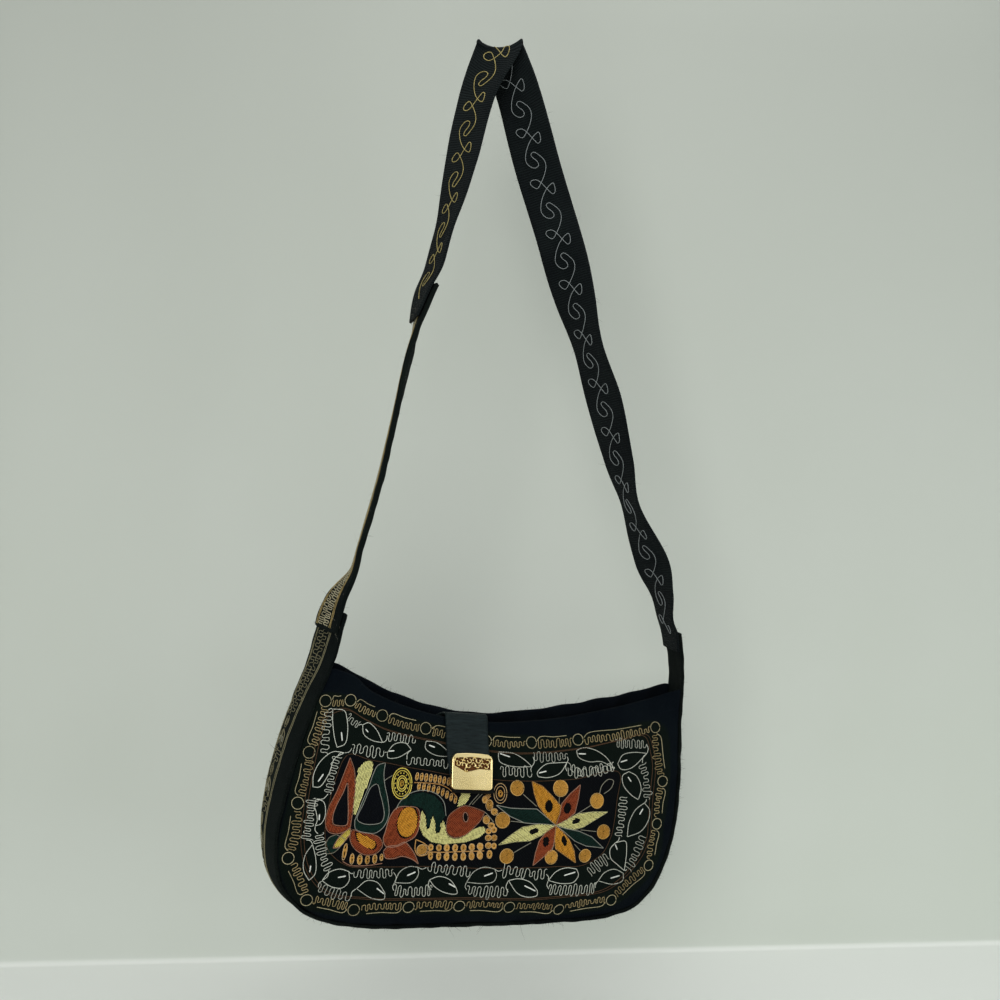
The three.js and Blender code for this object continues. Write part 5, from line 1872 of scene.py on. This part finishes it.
vine_pitch = vine(0, 400)[1]
first = (TOP_ON_TAPE + VINE_FROM_TOP) % vine_pitch
tape_vine = vine(first, TAPE_LONG - 16)[0]
sew("vine", tape_vine)
sew("vine back", tape_vine)
print("vine unit", round(vine_pitch, 1), "mm,", round(len(tape_vine) * STEP), "mm of thread")

# %% [markdown]
# ## The thread finish
# All threads are the same matt cotton in different dyes. They share a twisted strand: fine diagonal
# lines wind round the tube, and each line of stitches is a little lighter or darker than the next.

# %% Thread finish


def strand_group():
    """Diagonal plies round a thread, worn fuzz along it, and the shade of its own line."""
    tree, given, made = group("cotton strand", [("Map", "Vector", None), ("Place", "Vector", None)],
                              ["Height", "Shade"])
    parts = node(tree, "ShaderNodeSeparateXYZ", given[0]).outputs
    along = times(tree, parts[0], 2 * math.pi / 0.0009)
    round_it = times(tree, parts[1], 2 * math.pi / 0.0013)
    ply = sums(tree, "SINE", plus(tree, along, round_it))
    lint = noise(tree, given[1], 2600, 2, 0.7)
    plug(tree, made[0], plus(tree, times(tree, ply, 0.5), lint))
    tone = node(tree, "ShaderNodeAttribute", attribute_name="tone").outputs["Fac"]
    patch = noise(tree, given[1], 620, 3)
    mottled = plus(tree, times(tree, tone, 0.45), times(tree, patch, 1.0))
    plug(tree, made[1], plus(tree, mottled, times(tree, lint, 0.5)))
    return tree


STRAND = strand_group()


def cotton(name, share, *dye):
    """A dyed cotton. Its dark side has a deeper hue: share times the dye to the power 1.3."""
    made, tree, shader = finish(name, Roughness=0.85, Sheen_Weight=0.025, Sheen_Roughness=0.4,
                                Sheen_Tint=(0.9, 0.88, 0.8), Specular_IOR_Level=0.07)
    strand = use(tree, STRAND, map_of(tree), place_of(tree))
    shade = ramp(tree, strand[1], (0.45, 0.0), (1.25, 1.0))
    # Painted shade: the grooves between the plies darken the dye to 0.6 of it.
    groove_shade = ramp(tree, strand[0], (0.0, 0.6), (0.7, 1.0))
    colour = mixed(tree, shade, tuple(share * tone**1.3 for tone in dye), dye)
    paint(tree, shader, mixed(tree, 1.0, colour, groove_shade, "MULTIPLY"))
    bump(tree, shader, strand[0], 0.00018, 0.7)
    return made


# Half width in mm, the share of the dark side, and the dye in red, green and blue.
THREADS = {
    "white": (0.28, 0.48, 0.62, 0.64, 0.56), "loop": (0.24, 0.44, 0.58, 0.60, 0.52),
    "dash": (0.5, 0.74, 0.72, 0.74, 0.69), "light": (0.27, 0.64, 0.30, 0.31, 0.27),
    "thin light": (0.24, 0.66, 0.28, 0.27, 0.21), "cream": (0.38, 0.58, 0.80, 0.76, 0.31),
    "orange": (0.38, 0.58, 0.72, 0.33, 0.035), "ball": (0.38, 0.55, 0.64, 0.33, 0.06),
    "ball rim": (0.28, 0.72, 0.60, 0.38, 0.14), "rust": (0.38, 0.58, 0.31, 0.066, 0.023),
    "rust edge": (0.28, 0.67, 0.34, 0.18, 0.12), "orange edge": (0.26, 0.77, 0.42, 0.23, 0.08),
    "cream edge": (0.26, 0.77, 0.44, 0.42, 0.22), "green": (0.38, 0.95, 0.0055, 0.026, 0.019),
    "navy": (0.38, 1.6, 0.0013, 0.0026, 0.0052), "black": (0.38, 1.3, 0.003, 0.0025, 0.002),
    "yellow": (0.38, 0.6, 0.72, 0.58, 0.11), "gold": (0.38, 0.64, 0.50, 0.31, 0.05),
    "tan": (0.38, 0.65, 0.50, 0.27, 0.09), "bead": (0.38, 0.56, 0.58, 0.31, 0.07),
    "bead rim": (0.26, 0.66, 0.56, 0.38, 0.19), "olive": (0.27, 0.48, 0.38, 0.30, 0.15),
    "ring": (0.26, 0.52, 0.46, 0.41, 0.25), "brown": (0.26, 0.9, 0.085, 0.047, 0.026),
    "side": (0.24, 0.44, 0.26, 0.24, 0.145), "side line": (0.26, 0.47, 0.27, 0.25, 0.15),
    "side dash": (0.28, 0.66, 0.4, 0.4, 0.32), "lower": (0.4, 0.46, 0.46, 0.42, 0.28),
    "lower line": (0.4, 0.52, 0.34, 0.26, 0.11), "vine": (0.36, 0.42, 0.50, 0.42, 0.17),
    "vine back": (0.25, 0.65, 0.26, 0.285, 0.29),
}

on_side = on_strip(hung(gusset_surface), SIDE_LONG, SIDE_WIDE, -1, one_wall(GUSSET_WALL))
on_lower = on_strip(extension_surface, LOWER_LONG, EXTENSION_WIDTH, -1, extension_wall)
on_tape = on_strip(webbing_surface, TAPE_LONG, WEBBING_WIDTH, -1, one_wall(WEBBING_WALL))
in_tape = on_strip(webbing_surface, TAPE_LONG, WEBBING_WIDTH, 1, one_wall(WEBBING_WALL))
PLACES = {"side": (on_side, "gusset_cloth"), "lower": (on_lower, "extension_cloth"),
          "vine": (on_tape, "strap_webbing"), "vine back": (in_tape, "strap_webbing")}
SOLID = {"dash", "thin light", "light", "rust edge", "orange edge", "cream edge", "vine back"}

for name, lines in stitches.items():
    place, slot = PLACES.get(name) or PLACES.get(name.split()[0], (on_front, "front_cloth"))
    pulse = 0.15 if name in SOLID else 0.5
    over = 0.3 if name in SOLID or name in ("brown", "olive", "ring", "white", "loop") else 0.12
    piece = threads("thread_" + name.replace(" ", "_"), place, lines, THREADS[name][0], 0.33, pulse, over)
    dress(piece, cotton(name + " cotton", *THREADS[name][1:]))
    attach(piece, "root")

# %% [markdown]
# ## Loose fibres
# Worn cotton sheds. Short fibres stand along every edge of the cloth and at the strap's splices.
# Each is a thin tube that leaves its root along the edge's way out, a little turned, and bends.

# %% Fibres


def fibres(name, dye, long, spread, thick, seed, rows):
    """Paths root + long (share way + share squared bend). A row is a surface, the stretch of u and
    of v where roots lie, the small step that leads into the cloth, and how many fibres it gets.
    Without a step they point away from the bag's middle."""
    chance = np.random.default_rng(seed)
    roots, ways = [], []
    for surface, u_stretch, v_stretch, (du, dv), count in rows:
        u, v = chance.uniform(*u_stretch, count), chance.uniform(*v_stretch, count)
        root = surface(u, v)
        roots.append(root)
        ways.append(unit(root - (surface(u + du, v + dv) if du or dv else bag_middle)))
    root, way = np.vstack(roots), np.vstack(ways)
    way = unit(way + spread * chance.normal(size=way.shape))
    bend = 0.45 * chance.normal(size=way.shape)
    size = long * chance.gamma(2.5, 0.4, len(root))[:, None, None]
    share = np.linspace(0, 1, 5)[:, None]
    path = root[:, None] + size * (share * way[:, None] + share ** 2 * bend[:, None])
    side = unit(np.cross(way, bend))
    up = np.cross(way, side)
    angle = np.array([[0], [2], [4]]) * math.pi / 3
    around = np.cos(angle) * side[:, None, None] + np.sin(angle) * up[:, None, None]
    radius = thick * np.array([0.3, 1, 0.8, 0.5, 0.06])[:, None, None]
    rings = path[:, :, None] + radius * around
    index = np.arange(rings[..., 0].size).reshape(rings.shape[:3])
    after = np.roll(index, -1, axis=2)
    faces = np.stack([index[:, :-1], after[:, :-1], after[:, 1:], index[:, 1:]], axis=-1).reshape(-1, 4)
    piece = make_mesh(name, rings.reshape(-1, 3), faces, np.repeat(rings[..., 0].reshape(-1, 1), 2, axis=1))
    dress(piece, cotton(name.replace("_", " "), *dye))
    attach(piece, "root")
    print(name, len(root), "fibres,", 2 * len(faces), "triangles")


around_body = hung(gusset_surface)
bag_middle = around_body(np.linspace(0, 1, 9), np.full(9, 0.5)).mean(axis=0)
fibres("dark_fibres", (0.75, 0.012, 0.014, 0.012), 1.9, 0.7, 0.09, 3, [
    (hung(front_surface), (0.02, 0.98), (1, 1), (0, -0.02), 240),
    (mirrored_back, (0.02, 0.98), (1, 1), (0, -0.02), 420),
    (around_body, (0.1, 0.9), (0, 0.03), (0, 0), 620), (around_body, (0.1, 0.9), (0.97, 1), (0, 0), 300),
    (webbing_surface, (0, 1), (0, 0), (0, 0.05), 170),
    (webbing_surface, (0, 1), (1, 1), (0, -0.05), 170),
    (extension_surface, (0, 1), (0, 0), (0, 0.05), 150),
    (extension_surface, (0, 1), (1, 1), (0, -0.05), 150)])
fibres("olive_fibres", (0.6, 0.075, 0.08, 0.04), 1.7, 0.9, 0.08, 5, [
    (around_body, (0.66, 1), (0, 0.06), (0, 0), 460), (around_body, (0.72, 1), (0.9, 1), (0, 0), 160),
    (around_body, (0, 0.3), (0.9, 1), (0, 0), 160)])
fibres("pale_fibres", (0.42, 0.34, 0.33, 0.27), 2.4, 0.9, 0.08, 9, [
    (webbing_surface, (0, 0.016), (0, 1), (0.01, 0), 60),
    (extension_surface, (0, 1), (0, 0.3), (0, 0.05), 200),
    (extension_surface, (0, 1), (0.8, 1), (0, -0.05), 120),
    (extension_surface, (0, 0.03), (0, 1), (0.03, 0), 50),
    (around_body, (0.985, 1), (0, 1), (-0.01, 0), 36)])

# %% [markdown]
# ## What stands for what
# Each dressed piece takes an imported solid's place and rides on the bag's one body.

# %% Dresses in the solids' places
dresses = [
    ("front_panel", front, "front_cloth", front_cut), ("back_panel", back, "back_cloth", back_cut),
    ("gusset", side_strip, "gusset_cloth", side_cut),
    ("strap_webbing", webbing, "strap_webbing", webbing_cut),
    ("strap_extension", extension, "extension_cloth", extension_cut),
    ("closure_tab", tab, "tab_leather", tab_cut), ("clasp_plate", clasp, "clasp_metal", None),
]
for solid, piece, slot, flat in dresses:
    low, high = np.array(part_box(solid))
    corners = np.array([vertex.co for vertex in piece.data.vertices])
    off = np.abs([corners.min(0) - low, corners.max(0) - high]).max() * 1000
    print(solid, "and its dress differ by", round(float(off), 2), "mm at the box")
    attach(piece, "root")
    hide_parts(solid)
    if flat:
        area = piece["flat_area"]
        del piece["flat_area"]
        share = area / (flat[0] * flat[1])
        print(piece.name, "area over rectangle", round(share, 2))

added = [piece for piece in bpy.data.objects if piece.type == "MESH" and piece.data.uv_layers.get("UVMap")]
print("added:", sum(2 * len(piece.data.polygons) for piece in added), "triangles in", len(added), "pieces")
stud.data.materials.clear()
stud.data.materials.append(stud_finish())

# %% [markdown]
# ## The studio
# The bag hangs before pale grey-green paper that bends into a paler floor, and the paper gets a painted
# shade that darkens it up the wall. A large soft light from the upper left models the folds, a second one
# fills from the right, a third falls on the floor, and a pale world keeps the black cloth readable. The
# paper is clear from behind, so the bag's back can be seen as well.

# %% Backdrop
FLOOR = -741
WALL_BEHIND = 190
SWEEP = 5


def backdrop():
    """A floor profile, a quarter circle and a wall, carried sideways. Along x the wall swells by
    a few millimetres, as hung paper does: two sine waves, 310 and 190 mm long."""
    angle = np.linspace(0, math.pi / 2, 12)
    bend = np.stack([WALL_BEHIND - SWEEP + SWEEP * np.sin(angle),
                     FLOOR + SWEEP * (1 - np.cos(angle))], axis=1)
    wall = np.stack([np.full(9, WALL_BEHIND), np.linspace(FLOOR + 90, 2400, 9)], axis=1)
    profile = np.vstack([[(-2600, FLOOR), (-600, FLOOR)], bend, wall])
    across = np.concatenate([[-2600], np.linspace(-900, 900, 181), [2600]])
    points = np.stack(np.broadcast_arrays(across[None, :], profile[:, :1], profile[:, 1:]), axis=-1).copy()
    lean = points[..., 0] + 0.12 * points[..., 2]
    swell = 4.5 * np.sin(2 * math.pi * lean / 310 + 0.8) + 2 * np.sin(2 * math.pi * lean / 190)
    points[..., 1] += swell * smooth(points[..., 2], FLOOR + SWEEP, FLOOR + 400)
    index = np.arange(points[..., 0].size).reshape(points.shape[:2])
    turn = math.radians(AZIMUTH * 0.6)
    flat = points.reshape(-1, 3)
    turned = np.stack([flat[:, 0] * math.cos(turn) - flat[:, 1] * math.sin(turn),
                       flat[:, 0] * math.sin(turn) + flat[:, 1] * math.cos(turn), flat[:, 2]], axis=1)
    return make_mesh("backdrop", turned, quads(index), turned[:, :2])


sweep = backdrop()
paper, tree, shader = finish("pale paper", Roughness=0.9, Specular_IOR_Level=0.2)
cloud = noise(tree, place_of(tree), 2.2, 3)
low_tone = mixed(tree, ramp(tree, cloud, (0.3, 0.0), (0.7, 1.0)), (0.52, 0.556, 0.502), (0.56, 0.592, 0.55))
risen = sums(tree, "SUBTRACT", node(tree, "ShaderNodeSeparateXYZ", place_of(tree)).outputs[2], FLOOR * MM)
# Painted shade: the wall's colour darkens from 0.05 m to 0.85 m above the floor.
shaded_wall_tone = mixed(tree, ramp(tree, risen, (0.05, 0.0), (0.85, 1.0)), low_tone, (0.355, 0.375, 0.343))
paint(tree, shader,
     mixed(tree, ramp(tree, risen, (0.0005, 1.0), (0.004, 0.0)), shaded_wall_tone, (0.76, 0.78, 0.75)))
behind = times(tree, tree.nodes.new("ShaderNodeNewGeometry").outputs["Backfacing"],
              tree.nodes.new("ShaderNodeLightPath").outputs["Is Camera Ray"])
clear = tree.nodes.new("ShaderNodeBsdfTransparent").outputs[0]
one_way = node(tree, "ShaderNodeMixShader", behind, shader.outputs[0], clear).outputs[0]
plug(tree, tree.nodes["Material Output"].inputs["Surface"], one_way)
dress(sweep, paper)

# %% Lights


def soft_light(name, place, aim, size, watts, colour):
    """A square area light that looks from its place to its aim, both in millimetres."""
    lamp = bpy.data.lights.new(name, "AREA")
    lamp.size = size
    lamp.energy = watts
    lamp.color = colour
    holder = bpy.data.objects.new(name, lamp)
    place = np.array(place, float)
    back = unit(place - aim)
    right = unit(np.cross([0, 0, 1], back))
    stand(holder, right, np.cross(back, right), back, place)


soft_light("key", (-700, -1250, -60), (0, 0, -400), 0.8, 11.5, (1.0, 0.99, 0.97))
soft_light("fill", (1000, -1000, -380), (60, 0, -400), 1.1, 6.5, (0.98, 1.0, 1.0))
soft_light("low", (100, -300, 500), (60, 0, -741), 0.9, 4.5, (1.0, 1.0, 1.0))
world = bpy.data.worlds.new("studio")
world.use_nodes = True
world.node_tree.nodes["Background"].inputs[0].default_value = (0.84, 0.88, 0.85, 1)
world.node_tree.nodes["Background"].inputs[1].default_value = 0.42
bpy.context.scene.world = world
bpy.context.scene.view_settings.view_transform = "Standard"
